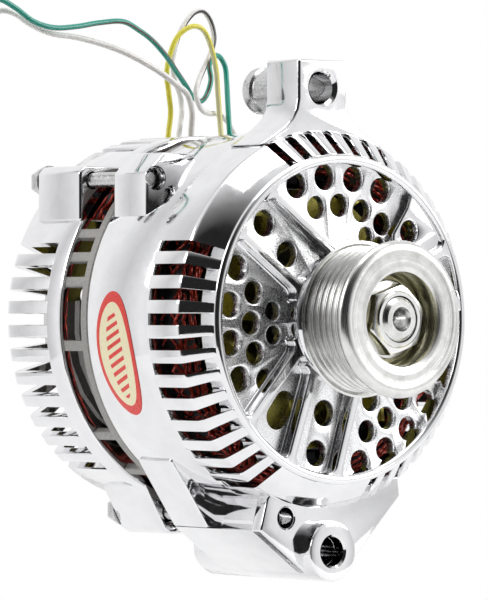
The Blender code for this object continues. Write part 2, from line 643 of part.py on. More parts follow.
# Each wire: colour, diameter, and the points of its route after it leaves its plug.
WIRES = {
    "yellow_wire": ("yellow_insulation", 2.2, [
        (15, 127, 60.3), (15, 127, 68), (16, 127, 76), (17, 127, 84), (16, 127, 92), (15, 127, 100),
        (17, 127, 108), (21, 127, 115), (27, 126, 119), (33, 126, 118), (37, 126, 112), (40, 126, 102),
        (41, 126, 92), (43, 127, 80), (44, 127, 69), (44, 127, 60.3)]),
    "striped_wire": ("white_insulation", 2.2, [
        (21, 128, 60.3), (21, 128, 68), (23, 129, 76), (26, 131, 84), (26, 132, 91), (23, 132, 98),
        (22, 132, 105), (24, 132, 113), (28, 132, 120), (33, 132, 125), (38, 132, 126), (42, 132, 122),
        (43, 131, 115), (40, 130, 108), (35, 128, 102), (30, 125, 97), (27, 123, 92), (28, 123, 88),
        (32, 125, 85), (38, 128, 84), (45, 131, 84), (52, 133, 81), (55, 131, 74), (54, 128, 67),
        (54, 128, 60.3)]),
    "green_wire": ("green_insulation", 2.2, [
        (49, 127, 60.3), (49, 127, 68), (48, 127, 76), (49, 129, 84), (51, 132, 91), (53, 135, 98),
        (53, 136, 104), (50, 136, 108), (46, 135, 108), (43, 134, 104), (43, 133, 98), (40, 132, 92),
        (35, 130, 89), (29, 128, 91), (24, 126, 95), (17, 123, 100), (10, 121, 106), (3, 121, 112),
        (-5, 120, 116), (-14, 119, 119), (-26, 119, 118), (-38, 118, 116), (-50, 117, 115),
        (-60, 117, 117), (-69, 117, 122), (-77, 117, 125), (-84, 117, 123), (-89, 117, 118),
        (-91, 117, 111)]),
    "white_wire": ("white_insulation", 2.5, [
        (28, 127, 60.3), (28, 127, 68), (27, 126, 76), (25, 123, 84), (20, 120, 91), (13, 119, 95),
        (6, 119, 99), (-3, 119, 103), (-13, 120, 107), (-24, 121, 110), (-36, 121, 112),
        (-48, 121, 113), (-58, 121, 116), (-66, 121, 120), (-73, 121, 121), (-79, 121, 118),
        (-82, 121, 112), (-83, 121, 105)]),
}


def smooth_curve(points, between):
    """Points read at this spacing from one smooth curve through the given points."""
    points = [Vector(point) for point in points]
    ends = [2 * points[0] - points[1], *points, 2 * points[-1] - points[-2]]
    fine = []
    for before, start, end, after in zip(ends, ends[1:], ends[2:], ends[3:]):
        for i in range(12):
            t = i / 12
            turn = (2 * before - 5 * start + 4 * end - after) * t**2
            bend = (-before + 3 * start - 3 * end + after) * t**3
            fine.append((2 * start + (end - before) * t + turn + bend) / 2)
    fine.append(points[-1])
    steps = [(b - a).length for a, b in zip(fine, fine[1:])]
    count = max(2, round(sum(steps) / between))
    spacing, travelled, chosen = sum(steps) / count, 0.0, [fine[0]]
    for point, step in zip(fine[1:], steps):
        travelled += step
        if travelled >= spacing * len(chosen) - 1e-6 and len(chosen) < count:
            chosen.append(point)
    return [*chosen, fine[-1]]


def wire(name, finish, diameter, route):
    """A wire as a tube along its route."""
    curve = bpy.data.curves.new(name, "CURVE")
    curve.dimensions = "3D"
    curve.bevel_depth = diameter / 2 * MM
    curve.bevel_resolution = 2
    curve.use_fill_caps = True
    points = smooth_curve(route, 2.6 * diameter)
    spline = curve.splines.new("POLY")
    spline.points.add(len(points) - 1)
    for place, point in zip(points, spline.points):
        point.co = (*(place * MM), 1)
    curve.materials.append(finish_named(finish))
    obj = bpy.data.objects.new(name, curve)
    bpy.context.scene.collection.objects.link(obj)


def terminal(name, route, finish):
    """The crimped connector on a wire's free end, in line with the wire."""
    end, before = Vector(route[-1]), Vector(route[-2])
    along = (end - before).normalized()
    bm = turned([(0, 0), (2.2, 0), (2.9, 2.5), (2.9, 12.5), (2.2, 15), (0, 15)], 10)
    turn = Vector((0, 1, 0)).rotation_difference(along).to_matrix()
    bmesh.ops.rotate(bm, verts=bm.verts, matrix=turn)
    bmesh.ops.translate(bm, verts=bm.verts, vec=end + along * GAP)
    solid(name, bm, finish)


def wiring():
    for name, (finish, diameter, route) in WIRES.items():
        wire(name, finish, diameter, route)
    for name in ("green_wire", "white_wire"):
        terminal(f"{name}_terminal", WIRES[name][2], "black_plastic")


# ---------------------------------------------------------------- assembly


def clear_scene():
    for obj in list(bpy.data.objects):
        bpy.data.objects.remove(obj)


def place_on_origin():
    """Shades the pieces and hangs them all on one empty, at the shaft's centre."""
    centre = bpy.data.objects.new("shaft_centre", None)
    centre.location = (0, -PIVOT_FRONT * MM, MOUNT_HEIGHT * MM)
    for obj in list(bpy.context.scene.collection.objects):
        obj.parent = centre
        if obj.type == "MESH":
            obj.data.shade_smooth()
            obj.data.set_sharp_from_angle(angle=math.radians(35))
    bpy.context.scene.collection.objects.link(centre)


def main():
    clear_scene()
    front_housing()
    rear_housing()
    spacer_ring()
    stator()
    rotor_shaft()
    pulley()
    pole_claws()
    field_coil()
    fans()
    slip_rings()
    bearing("front", FRONT_BEARING, SHAFT_RADIUS + GAP)
    bearing("rear", REAR_BEARING, TAIL_RADIUS + GAP)
    bearing_retainer()
    through_bolts()
    ear_bushing()
    brush_gear()
    rectifier()
    output_stud()
    regulator()
    oval_label()
    wiring()
    place_on_origin()


main()
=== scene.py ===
"""The looks of a chrome-cased car alternator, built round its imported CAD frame.

Pieces are modelled in millimetres about the shaft's centre, the point on the shaft's
axis level with the front rim: -Y is towards the pulley, +X to the right as seen from
there and +Z up. Bench.finish moves each finished mesh into the frame, in metres.
"""

import json
import logging
import math
from collections.abc import Sequence
from dataclasses import dataclass, field
from enum import Enum

import bpy
from mathutils import Matrix, Vector

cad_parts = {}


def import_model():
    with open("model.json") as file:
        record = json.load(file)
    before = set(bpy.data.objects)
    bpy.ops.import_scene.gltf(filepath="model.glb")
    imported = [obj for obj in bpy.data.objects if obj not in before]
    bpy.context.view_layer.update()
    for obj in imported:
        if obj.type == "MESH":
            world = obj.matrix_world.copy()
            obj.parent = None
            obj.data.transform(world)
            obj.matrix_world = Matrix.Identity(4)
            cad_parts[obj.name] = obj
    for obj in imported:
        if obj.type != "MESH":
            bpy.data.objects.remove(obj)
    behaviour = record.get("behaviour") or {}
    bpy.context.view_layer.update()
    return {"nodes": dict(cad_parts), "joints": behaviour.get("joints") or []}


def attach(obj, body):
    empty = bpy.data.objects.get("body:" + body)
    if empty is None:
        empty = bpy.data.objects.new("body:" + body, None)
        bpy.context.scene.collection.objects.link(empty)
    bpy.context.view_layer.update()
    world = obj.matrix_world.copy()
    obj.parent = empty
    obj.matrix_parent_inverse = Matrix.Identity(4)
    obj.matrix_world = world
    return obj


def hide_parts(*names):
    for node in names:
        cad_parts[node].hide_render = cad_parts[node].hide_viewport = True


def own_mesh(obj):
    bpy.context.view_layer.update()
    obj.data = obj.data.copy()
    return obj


MM = 0.001
MOUNT_HEIGHT = 88.9  # from the shaft's axis to each mounting bolt
STUD_RADIUS, STUD_ANGLE = 44.0, 330.0
log = logging.getLogger("alternator")

Point = tuple[float, ...]


class Body(Enum):
    """The CAD bodies that pieces ride on."""

    HOUSING = "housing"
    ROTOR = "rotor"


def polar(radius: float, degrees: float) -> tuple[float, float]:
    """The (x, z) point at this radius and angle round the shaft."""
    return radius * math.cos(math.radians(degrees)), radius * math.sin(math.radians(degrees))


# ---------------------------------------------------------------- shader maths


class Sock:
    """A shader socket that adds its own Math nodes when it is used in an expression."""

    def __init__(self, paint: "Paint", socket: bpy.types.NodeSocket) -> None:
        """Wraps a socket of one paint's node tree."""
        self.paint, self.socket = paint, socket

    def _math(self, operation: str, *values: object) -> "Sock":
        """Adds one Math node on these values."""
        return self.paint.node("ShaderNodeMath", {"operation": operation}, *values)

    def __add__(self, other: object) -> "Sock":
        """self + other."""
        return self._math("ADD", self, other)

    def __sub__(self, other: object) -> "Sock":
        """self - other."""
        return self._math("SUBTRACT", self, other)

    def __rsub__(self, other: object) -> "Sock":
        """other - self."""
        return self._math("SUBTRACT", other, self)

    def __mul__(self, other: object) -> "Sock":
        """self * other."""
        return self._math("MULTIPLY", self, other)

    __radd__, __rmul__ = __add__, __mul__

    def below(self, edge: float) -> "Sock":
        """1 where the value is below the edge, and 0 elsewhere."""
        return self._math("LESS_THAN", self, edge)

    def ramp(self, low: float, high: float, to_low: float = 0.0, to_high: float = 1.0) -> "Sock":
        """The value's way from low to high, eased and clamped, as a number from to_low to to_high."""
        settings = {"interpolation_type": "SMOOTHSTEP"}
        return self.paint.node("ShaderNodeMapRange", settings, self, low, high, to_low, to_high)


class Paint:
    """A material in the making, round one Principled shader."""

    def __init__(self, name: str) -> None:
        """Starts the material with an empty Principled shader.

        Args:
            name: its name.
        """
        self.material = bpy.data.materials.new(name)
        self.material.use_nodes = True
        self.tree = self.material.node_tree
        self.shader = self.tree.nodes["Principled BSDF"]

    def node(self, kind: str, settings: dict, *values: object, out: str | int = 0, **named: object) -> Sock:
        """Adds a node.

        Args:
            kind: the node's type.
            settings: its properties, set before its sockets.
            values: numbers or sockets for its inputs, in order; None skips one.
            out: the output that is returned.
            named: values for inputs by name, with _ for a space.

        Returns:
            The chosen output, wrapped.
        """
        made = self.tree.nodes.new(kind)
        for key, value in settings.items():
            setattr(made, key, value)
        pairs = [(made.inputs[i], value) for i, value in enumerate(values) if value is not None]
        pairs += [(made.inputs[key.replace("_", " ")], value) for key, value in named.items()]
        for socket, value in pairs:
            if isinstance(value, Sock):
                self.tree.links.new(value.socket, socket)
            else:
                socket.default_value = value
        return Sock(self, made.outputs[out])

    def place(self) -> Sock:
        """The point on the object, in metres."""
        return self.node("ShaderNodeTexCoord", {}, out="Object")

    def uv(self) -> tuple[Sock, Sock]:
        """The two numbers of the piece's own UV map."""
        split = self.node("ShaderNodeSeparateXYZ", {}, self.node("ShaderNodeUVMap", {}))
        return split, Sock(self, split.socket.node.outputs[1])

    def noise(self, scale: float, detail: float = 3.0, stretch: Point = (1, 1, 1)) -> Sock:
        """Noise of this many waves to the metre, stretched along the axes."""
        where = self.node("ShaderNodeMapping", {}, self.place(), Scale=stretch)
        return self.node("ShaderNodeTexNoise", {}, Vector=where, Scale=scale, Detail=detail, Roughness=0.6)

    def tint(self, factor: Sock, low: Point, high: Point) -> Sock:
        """A colour from low to high.

        Args:
            factor: 0 for the low colour, 1 for the high one.
            low: the colour at 0.
            high: the colour at 1.

        Returns:
            The colour.
        """
        settings = {"data_type": "RGBA"}
        mixed = self.node("ShaderNodeMix", settings, factor, out=2)
        mixed.socket.node.inputs[6].default_value = (*low, 1)
        mixed.socket.node.inputs[7].default_value = (*high, 1)
        return mixed

    def bump(self, height: Sock, depth_mm: float, under: Sock | None = None) -> Sock:
        """A bump of this height, on top of another one if given.

        Args:
            height: the height, from 0 to 1.
            depth_mm: how deep it is, in millimetres.
            under: the bump beneath it.

        Returns:
            The normal.
        """
        values = {"Strength": 1.0, "Distance": depth_mm * MM, "Height": height}
        if under:
            values["Normal"] = under
        return self.node("ShaderNodeBump", {}, **values)

    def dress(self, **values: object) -> bpy.types.Material:
        """Sets the Principled shader's sockets and returns the material.

        Args:
            values: what each socket gets, with _ for a space in its name.

        Returns:
            The material.
        """
        for key, value in values.items():
            socket = self.shader.inputs[key.replace("_", " ")]
            if isinstance(value, Sock):
                self.tree.links.new(value.socket, socket)
            else:
                socket.default_value = (*value, 1) if isinstance(value, tuple) else value
        return self.material


@dataclass(frozen=True)
class Chrome:
    """Bright plating over a polished casting."""

    name: str
    colour: Point = (0.83, 0.83, 0.84)
    roughness: float = 0.06
    ripple: float = 0.012
    grain: float = 0.0
    grain_scale: float = 1400.0

    def make(self) -> bpy.types.Material:
        """Builds the material."""
        paint = Paint(self.name)
        normal = paint.bump(paint.noise(55, 2), self.ripple * 10)
        rough: Sock | float = paint.noise(300, 4).ramp(0.35, 0.75, self.roughness, self.roughness + 0.07)
        if self.grain:
            coarse = paint.noise(self.grain_scale, 5)
            normal = paint.bump(coarse, self.grain, normal)
            rough = coarse.ramp(0.3, 0.7, self.roughness, self.roughness + 0.22)
        dimmer = tuple(c * 0.93 for c in self.colour)
        shade = paint.tint(paint.noise(120, 3).ramp(0.3, 0.8), self.colour, dimmer)
        return paint.dress(Base_Color=shade, Metallic=1.0, Roughness=rough, Normal=normal)


@dataclass(frozen=True)
class Cast:
    """Bare sand-cast or blasted metal: matt and pitted."""

    name: str
    colour: Point = (0.45, 0.44, 0.42)
    roughness: float = 0.6
    grain: float = 0.12
    metallic: float = 0.75

    def make(self) -> bpy.types.Material:
        """Builds the material."""
        paint = Paint(self.name)
        pits = paint.noise(1300, 6)
        shade = paint.tint(pits.ramp(0.3, 0.72), tuple(c * 0.6 for c in self.colour), self.colour)
        rough = pits.ramp(0.3, 0.7, self.roughness - 0.12, self.roughness + 0.15)
        normal = paint.bump(pits, self.grain)
        return paint.dress(Base_Color=shade, Metallic=self.metallic, Roughness=rough, Normal=normal)


@dataclass(frozen=True)
class Turned:
    """Machined metal, with the fine rings that a lathe tool leaves round the shaft's axis."""

    name: str
    colour: Point = (0.74, 0.74, 0.73)
    roughness: float = 0.2
    rings_per_mm: float = 2.2
    depth: float = 0.012
    metallic: float = 1.0
    stain: Point = (0.6, 0.6, 0.58)

    def make(self, centre: Vector) -> bpy.types.Material:
        """Builds the material with its rings round an axis along Y through this centre.

        Args:
            centre: the shaft's centre in the frame, in metres.

        Returns:
            The material.
        """
        paint = Paint(self.name)
        moved = paint.node("ShaderNodeMapping", {}, paint.place(), Location=tuple(-c for c in centre))
        flat = paint.node("ShaderNodeMapping", {}, moved, Scale=(1, 0, 1))
        radius = paint.node("ShaderNodeVectorMath", {"operation": "LENGTH"}, flat, out="Value")
        along = paint.node("ShaderNodeSeparateXYZ", {}, moved, out="Y")
        reach = (radius + along) * (1000 * self.rings_per_mm)
        where = paint.node("ShaderNodeCombineXYZ", {}, reach, 0.0, 0.0)
        rings = paint.node("ShaderNodeTexNoise", {}, Vector=where, Scale=1.0, Detail=4.0)
        patch = paint.noise(160, 3)
        shade = paint.tint(patch.ramp(0.35, 0.75), self.colour, self.stain)
        rough = rings.ramp(0.3, 0.7, self.roughness - 0.05, self.roughness + 0.1)
        normal = paint.bump(rings, self.depth)
        return paint.dress(Base_Color=shade, Metallic=self.metallic, Roughness=rough, Normal=normal)


@dataclass(frozen=True)
class Moulded:
    """Moulded plastic, carbon or wire enamel, with a faint texture and a slight change of shade."""

    name: str
    colour: Point
    roughness: float = 0.4
    metallic: float = 0.0
    coat: float = 0.0
    grain: float = 0.02
    scale: float = 900.0
    shading: float = 0.72

    def make(self) -> bpy.types.Material:
        """Builds the material."""
        paint = Paint(self.name)
        dust = paint.noise(self.scale, 4)
        shade = paint.tint(dust.ramp(0.3, 0.8), tuple(c * self.shading for c in self.colour), self.colour)
        rough = dust.ramp(0.3, 0.7, self.roughness - 0.06, self.roughness + 0.1)
        normal = paint.bump(dust, self.grain)
        return paint.dress(
            Base_Color=shade, Metallic=self.metallic, Roughness=rough, Coat_Weight=self.coat, Normal=normal
        )


@dataclass(frozen=True)
class Laminated:
    """A stack of thin dark sheets, edge on, along Y."""

    name: str
    colour: Point = (0.06, 0.06, 0.065)
    sheets_per_mm: float = 1.4

    def make(self) -> bpy.types.Material:
        """Builds the material."""
        paint = Paint(self.name)
        along = paint.node("ShaderNodeSeparateXYZ", {}, paint.place(), out="Y") * (1000 * self.sheets_per_mm)
        where = paint.node("ShaderNodeCombineXYZ", {}, 0.0, along, 0.0)
        edges = paint.node("ShaderNodeTexNoise", {}, Vector=where, Scale=1.0, Detail=1.0)
        shade = paint.tint(edges.ramp(0.35, 0.65), tuple(c * 0.5 for c in self.colour), self.colour)
        rough = edges.ramp(0.3, 0.7, 0.45, 0.7)
        return paint.dress(Base_Color=shade, Metallic=0.6, Roughness=rough, Normal=paint.bump(edges, 0.05))


@dataclass(frozen=True)
class Insulation:
    """A wire's smooth covering, with an optional stripe that winds slowly along it: a printed tracer on the
    striped and green leads, and a painted highlight on the yellow lead.
    """

    name: str
    colour: Point
    stripe_and_painted_highlight: Point | None = None
    width: float = 0.12
    twist: float = 0.0

    def make(self) -> bpy.types.Material:
        """Builds the material; the UV map's first number runs round the wire, its second along it."""
        paint = Paint(self.name)
        scuffs = paint.noise(500, 4)
        shade = paint.tint(scuffs.ramp(0.3, 0.8), tuple(c * 0.86 for c in self.colour), self.colour)
        # The stripe is printed on the striped and green leads; on the yellow lead the pale stripe is a
        # painted highlight.
        if self.stripe_and_painted_highlight:
            around, along = paint.uv()
            turn = paint.node("ShaderNodeMath", {"operation": "FRACT"}, around + along * self.twist)
            mask = turn.below(self.width)
            mixed = paint.node("ShaderNodeMix", {"data_type": "RGBA"}, mask, out=2)
            paint.tree.links.new(shade.socket, mixed.socket.node.inputs[6])
            mixed.socket.node.inputs[7].default_value = (*self.stripe_and_painted_highlight, 1)
            shade = mixed
        rough = scuffs.ramp(0.3, 0.7, 0.28, 0.42)
        normal = paint.bump(scuffs, 0.01)
        return paint.dress(Base_Color=shade, Roughness=rough, Coat_Weight=0.25, Normal=normal)


@dataclass(frozen=True)
class Sticker:
    """An oval label: a red border on cream, with a plain row of slanted bars down its middle."""

    name: str
    cream: Point = (0.86, 0.78, 0.52)
    red: Point = (0.72, 0.03, 0.02)
    border: float = 0.83
    bars: float = 7.0

    def make(self) -> bpy.types.Material:
        """Builds the material; the UV map spans the oval from -1 to 1 both ways."""
        paint = Paint(self.name)
        across, along = paint.uv()
        square = across * across + along * along
        rim = 1 - square.below(self.border * self.border)
        slant = paint.node("ShaderNodeMath", {"operation": "FRACT"}, along * self.bars + across * 1.1)
        bar = slant.below(0.46) * (across * across * 3.6 + along * along * 1.25).below(0.62)
        mask = paint.node("ShaderNodeMath", {"operation": "MAXIMUM"}, rim, bar)
        shade = paint.tint(mask, self.cream, self.red)
        rough = paint.noise(700, 3).ramp(0.3, 0.7, 0.25, 0.38)
        return paint.dress(Base_Color=shade, Roughness=rough, Coat_Weight=0.3)


# ---------------------------------------------------------------- the work bench


class Bench:
    """Modelling operators in millimetres, about the shaft's centre."""

    def __init__(self, centre: Vector) -> None:
        """Args: centre: the shaft's centre in the frame, in metres."""
        self.centre = centre
        self.to_frame = Matrix.Translation(centre) @ Matrix.Scale(MM, 4)

    @staticmethod
    def clear() -> None:
        """Leaves nothing selected, so that the next operator acts only on what it makes."""
        if bpy.context.object and bpy.context.object.mode != "OBJECT":
            bpy.ops.object.mode_set(mode="OBJECT")
        bpy.ops.object.select_all(action="DESELECT")

    @staticmethod
    def hold(obj: bpy.types.Object) -> None:
        """Makes this object the only selected one, and the active one.

        Args:
            obj: the object.
        """
        Bench.clear()
        obj.select_set(True)
        bpy.context.view_layer.objects.active = obj

    def chain(self, points: Sequence[Point], filled: bool = True) -> bpy.types.Object:
        """Draws a chain of points by extruding one corner.

        Args:
            points: the (x, y, z) points in order.
            filled: closes the outline with a face.

        Returns:
            The object, in edit mode, with all of it selected.
        """
        self.clear()
        bpy.ops.mesh.primitive_plane_add(size=1, location=points[0])
        obj = bpy.context.object
        bpy.ops.object.mode_set(mode="EDIT")
        bpy.ops.mesh.merge(type="CENTER")
        for here, there in zip(points, points[1:]):
            step = tuple(b - a for a, b in zip(here, there))
            bpy.ops.mesh.extrude_region_move(TRANSFORM_OT_translate={"value": step})
        bpy.ops.mesh.select_all(action="SELECT")
        if filled:
            bpy.ops.mesh.edge_face_add()
        return obj

    def close(self, obj: bpy.types.Object) -> bpy.types.Object:
        """Merges doubles, points the faces outwards, leaves edit mode and applies the place.

        Args:
            obj: the object.

        Returns:
            The body.
        """
        bpy.ops.mesh.select_all(action="SELECT")
        bpy.ops.mesh.remove_doubles(threshold=0.0005)
        bpy.ops.mesh.normals_make_consistent(inside=False)
        bpy.ops.object.mode_set(mode="OBJECT")
        self.hold(obj)
        bpy.ops.object.transform_apply(location=True, rotation=True, scale=True)
        return obj

    def turned(
        self, profile: Sequence[Point], steps: int = 128, start: float = 0, sweep: float = 360
    ) -> bpy.types.Object:
        """Turns a closed (radius, y) outline round the shaft.

        Args:
            profile: the outline's points; it may touch the axis.
            steps: how many steps the turn takes.
            start: the first angle, in degrees.
            sweep: how far it turns.

        Returns:
            A closed body.
        """
        points = [(polar(r, start)[0], y, polar(r, start)[1]) for r, y in profile]
        full, on_axis = sweep >= 360, profile[0][0] == profile[-1][0] == 0
        if full and not on_axis:
            points.append(points[0])
        obj = self.chain(points, filled=not full)
        angle = math.radians(sweep)
        bpy.ops.mesh.spin(steps=steps, angle=angle, center=(0, 0, 0), axis=(0, 1, 0))
        return self.close(obj)

    def plate(self, outline: Sequence[Point], front: float, back: float) -> bpy.types.Object:
        """A body with this (x, z) outline, from front to back along Y.

        Args:
            outline: the outline's points, in order.
            front: its front, along Y.
            back: its back, along Y.

        Returns:
            The body.
        """
        obj = self.chain([(x, front, z) for x, z in outline])
        bpy.ops.mesh.extrude_region_move(TRANSFORM_OT_translate={"value": (0, back - front, 0)})
        return self.close(obj)

    def drum(self, place: Point, profile: Sequence[Point], sides: int = 40) -> bpy.types.Object:
        """A small turned body round an axis along Y through this (x, z) place.

        Args:
            place: the (x, z) place of its axis.
            profile: the (radius, y) outline.
            sides: how many sides it has.

        Returns:
            The body.
        """
        obj = self.turned(profile, sides)
        obj.data.transform(Matrix.Translation((place[0], 0, place[1])))
        return obj

    def block(self, low: Point, high: Point, rounding: float = 0.6, segments: int = 3) -> bpy.types.Object:
        """A box with rounded edges between two corners.

        Args:
            low: its lowest corner.
            high: its highest corner.
            rounding: the radius of its edges.
            segments: how many steps an edge has.

        Returns:
            The body.
        """
        self.clear()
        middle = [(a + b) / 2 for a, b in zip(low, high)]
        bpy.ops.mesh.primitive_cube_add(size=1, location=middle, scale=[b - a for a, b in zip(low, high)])
        obj = bpy.context.object
        bpy.ops.object.transform_apply(location=True, rotation=True, scale=True)
        return self.rounded(obj, rounding, segments)

    def hexagon(self, place: Point, corner: float, depth: float) -> bpy.types.Object:
        """A hexagonal bar along Y round this (x, y, z) place, with its corners at this radius.

        Args:
            place: where it is.
            corner: the radius of its corners.
            depth: its length along Y.

        Returns:
            The body.
        """
        self.clear()
        along_y = (math.pi / 2, 0, 0)
        bpy.ops.mesh.primitive_cylinder_add(
            vertices=6, radius=corner, depth=depth, location=place, rotation=along_y
        )
        bpy.ops.object.transform_apply(location=True, rotation=True, scale=True)
        return bpy.context.object

    def rounded(
        self, obj: bpy.types.Object, width: float, segments: int = 3, angle: float = 30
    ) -> bpy.types.Object:
        """Rounds every edge sharper than the angle.

        Args:
            obj: the object.
            width: the radius of the rounding.
            segments: how many steps an edge has.
            angle: the sharpest angle that is left, in degrees.

        Returns:
            The body.
        """
        modifier = obj.modifiers.new("rounding", "BEVEL")
        modifier.width, modifier.segments = width, segments
        modifier.limit_method, modifier.angle_limit = "ANGLE", math.radians(angle)
        modifier.use_clamp_overlap = True
        return self.apply(obj)

    def apply(self, obj: bpy.types.Object) -> bpy.types.Object:
        """Applies the object's modifiers in order.

        Args:
            obj: the object.

        Returns:
            The body.
        """
        self.hold(obj)
        for modifier in list(obj.modifiers):
            bpy.ops.object.modifier_apply(modifier=modifier.name)
        return obj

    def carve(self, obj: bpy.types.Object, *tools: bpy.types.Object, keep: bool = False) -> bpy.types.Object:
        """Cuts the tools out of the object, or keeps only what is inside them, and removes them.

        Args:
            obj: the object.
            tools: the bodies that cut; they are removed.

        Returns:
            The body.
        """
        for tool in tools:
            modifier = obj.modifiers.new("carve", "BOOLEAN")
            modifier.operation = "INTERSECT" if keep else "DIFFERENCE"
            modifier.solver, modifier.object = "EXACT", tool
            self.apply(obj)
            bpy.data.objects.remove(tool)
        return obj

    def group(self, parts: Sequence[bpy.types.Object]) -> bpy.types.Object:
        """Joins several bodies into one object, each still its own shell.

        Args:
            parts: the bodies.

        Returns:
            The body.
        """
        self.clear()
        for part in parts:
            part.select_set(True)
        bpy.context.view_layer.objects.active = parts[0]
        if len(parts) > 1:
            bpy.ops.object.join()
        return bpy.context.object

    def copies(self, obj: bpy.types.Object, angles: Sequence[float]) -> list[bpy.types.Object]:
        """The object turned to each of these angles round the shaft; the first one is itself.

        Args:
            obj: the object.
            angles: where each copy goes, in degrees.

        Returns:
            The bodies.
        """
        made = [obj]
        for _ in angles[1:]:
            copy = obj.copy()
            copy.data = obj.data.copy()
            bpy.context.scene.collection.objects.link(copy)
            made.append(copy)
        for copy, degrees in zip(made, angles):
            copy.data.transform(Matrix.Rotation(-math.radians(degrees), 4, "Y"))
        return made

    def finish(
        self,
        obj: bpy.types.Object,
        name: str,
        body: Body,
        slot: str,
        material: bpy.types.Material,
        replaces: Sequence[str] = (),
        angle: float = 32,
    ) -> bpy.types.Object:
        """Names, shades and dresses a piece, moves it into the frame and lets it ride on its body.

        Args:
            obj: the piece, in millimetres.
            name: its name.
            body: the body it rides on.
            slot: the record's material slot; not used.
            material: its material.
            replaces: the CAD nodes that it stands for.
            angle: edges sharper than this stay sharp.

        Returns:
            The piece.
        """
        self.hold(obj)
        obj.name = obj.data.name = name
        bpy.ops.object.shade_smooth_by_angle(angle=math.radians(angle))
        if not obj.data.materials:
            obj.data.materials.append(material)
        obj.data.transform(self.to_frame)
        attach(obj, body.value)
        if replaces:
            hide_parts(*replaces)
        log.info("%s: %d faces on %s", name, len(obj.data.polygons), body.value)
        return obj


@dataclass
class Shop:
    """What every sub-assembly works with: the bench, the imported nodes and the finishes."""

    bench: Bench
    nodes: dict[str, bpy.types.Object]
    paints: dict[str, bpy.types.Material]

    def redress(self, slot: str, *names: str) -> None:
        """Gives CAD nodes that stay a better material.

        Args:
            slot: the finish that they get.
            names: the nodes' names.
        """
        for name in names:
            mesh = self.nodes[name].data
            mesh.materials.clear()
            mesh.materials.append(self.paints[slot])


# ---------------------------------------------------------------- shared case layout


@dataclass
class Case:
    """Sizes that both housings share."""

    radius: float = 72.5
    inside: float = 69.0
    slot_width: float = 4.3
    pitch: float = 7.5
    bolt_circle: float = 78.0
    bolt_angles: tuple[float, ...] = (136.3, 256.3, 16.3)  # upper, lower and right ear
    right_ear: tuple[Point, ...] = ((68, 10), (80.5, 13), (81.5, 25), (77.5, 30.5), (64, 34.5), (62, 20))

    def fin_width(self, radius: float) -> float:
        """The width of the metal between two slots at this radius."""
        return math.radians(self.pitch) * radius - self.slot_width

    def fin(self, bench: Bench, outline: Sequence[Point], rounding: float) -> bpy.types.Object:
        """One fin at angle 0, from its (radius, y) outline; its sides run parallel to the slots.

        Args:
            bench: the work bench.
            outline: its (radius, y) outline.
            rounding: the radius of its edges.

        Returns:
            The body.
        """
        obj = bench.chain([(r, y, -1) for r, y in outline])
        bpy.ops.mesh.extrude_region_move(TRANSFORM_OT_translate={"value": (0, 0, 2)})
        bench.close(obj)
        for vertex in obj.data.vertices:
            vertex.co.z *= self.fin_width(vertex.co.x) / 2
        return bench.rounded(obj, rounding, 2, 20)

    def half_slot(self) -> float:
        """Half a slot's width as an angle on the case."""
        return math.degrees(self.slot_width / 2 / self.radius)


def slots_between(first: float, last: float, pitch: float) -> list[float]:
    """Slot angles from first to last."""
    return [first + pitch * i for i in range(round((last - first) / pitch) + 1)]


def fins_between(first: float, last: float, pitch: float) -> list[float]:
    """The angles halfway between neighbouring slots."""
    return [angle + pitch / 2 for angle in slots_between(first, last, pitch)[:-1]]


# ---------------------------------------------------------------- front housing


@dataclass
class Rib:
    """A rib on the front face: a straight wall between two (x, z) points."""

    outer: Point
    inner: Point
    width: float = 4.0
    flare: float = 3.4

    def meet(self, radius: float) -> Vector:
        """Where the rib's middle line crosses a circle round the shaft, on the rib's own side.

        Args:
            radius: the circle's radius.

        Returns:
            The point.
        """
        start = Vector(self.outer)
        along = (Vector(self.inner) - start).normalized()
        half = start.dot(along)
        return start + along * (-half - math.sqrt(half * half - start.length_squared + radius * radius))

    def outline(self, rim: float, hub: float, extra: float = 0.0) -> list[Point]:
        """The rib's (x, z) outline, which flares with a round corner where it joins rim and hub.

        Args:
            rim: the radius of the rim's inner wall.
            hub: the radius of the hub.
            extra: how much wider each side is than the rib.

        Returns:
            The outline's points; both ends run on into the rim and the hub.
        """
        start, stop = self.meet(rim), self.meet(hub)
        along, length = (stop - start).normalized(), (stop - start).length
        across = Vector((-along.y, along.x))
        near = [self.flare * (1 - math.cos(math.radians(15 * i))) for i in range(7)]
        stations = [-1.5, *near, *[length - step for step in reversed(near)], length + 2]

        def half(place: float) -> float:
            """Half the rib's width at this distance from the rim."""
            left = 1 - max(0.0, min(place, length - place, self.flare)) / self.flare
            return self.width / 2 + extra + self.flare * (1 - math.sqrt(1 - left * left))

        one = [start + along * place + across * half(place) for place in stations]
        other = [start + along * place - across * half(place) for place in reversed(stations)]
        return [tuple(point) for point in (*one, *other)]


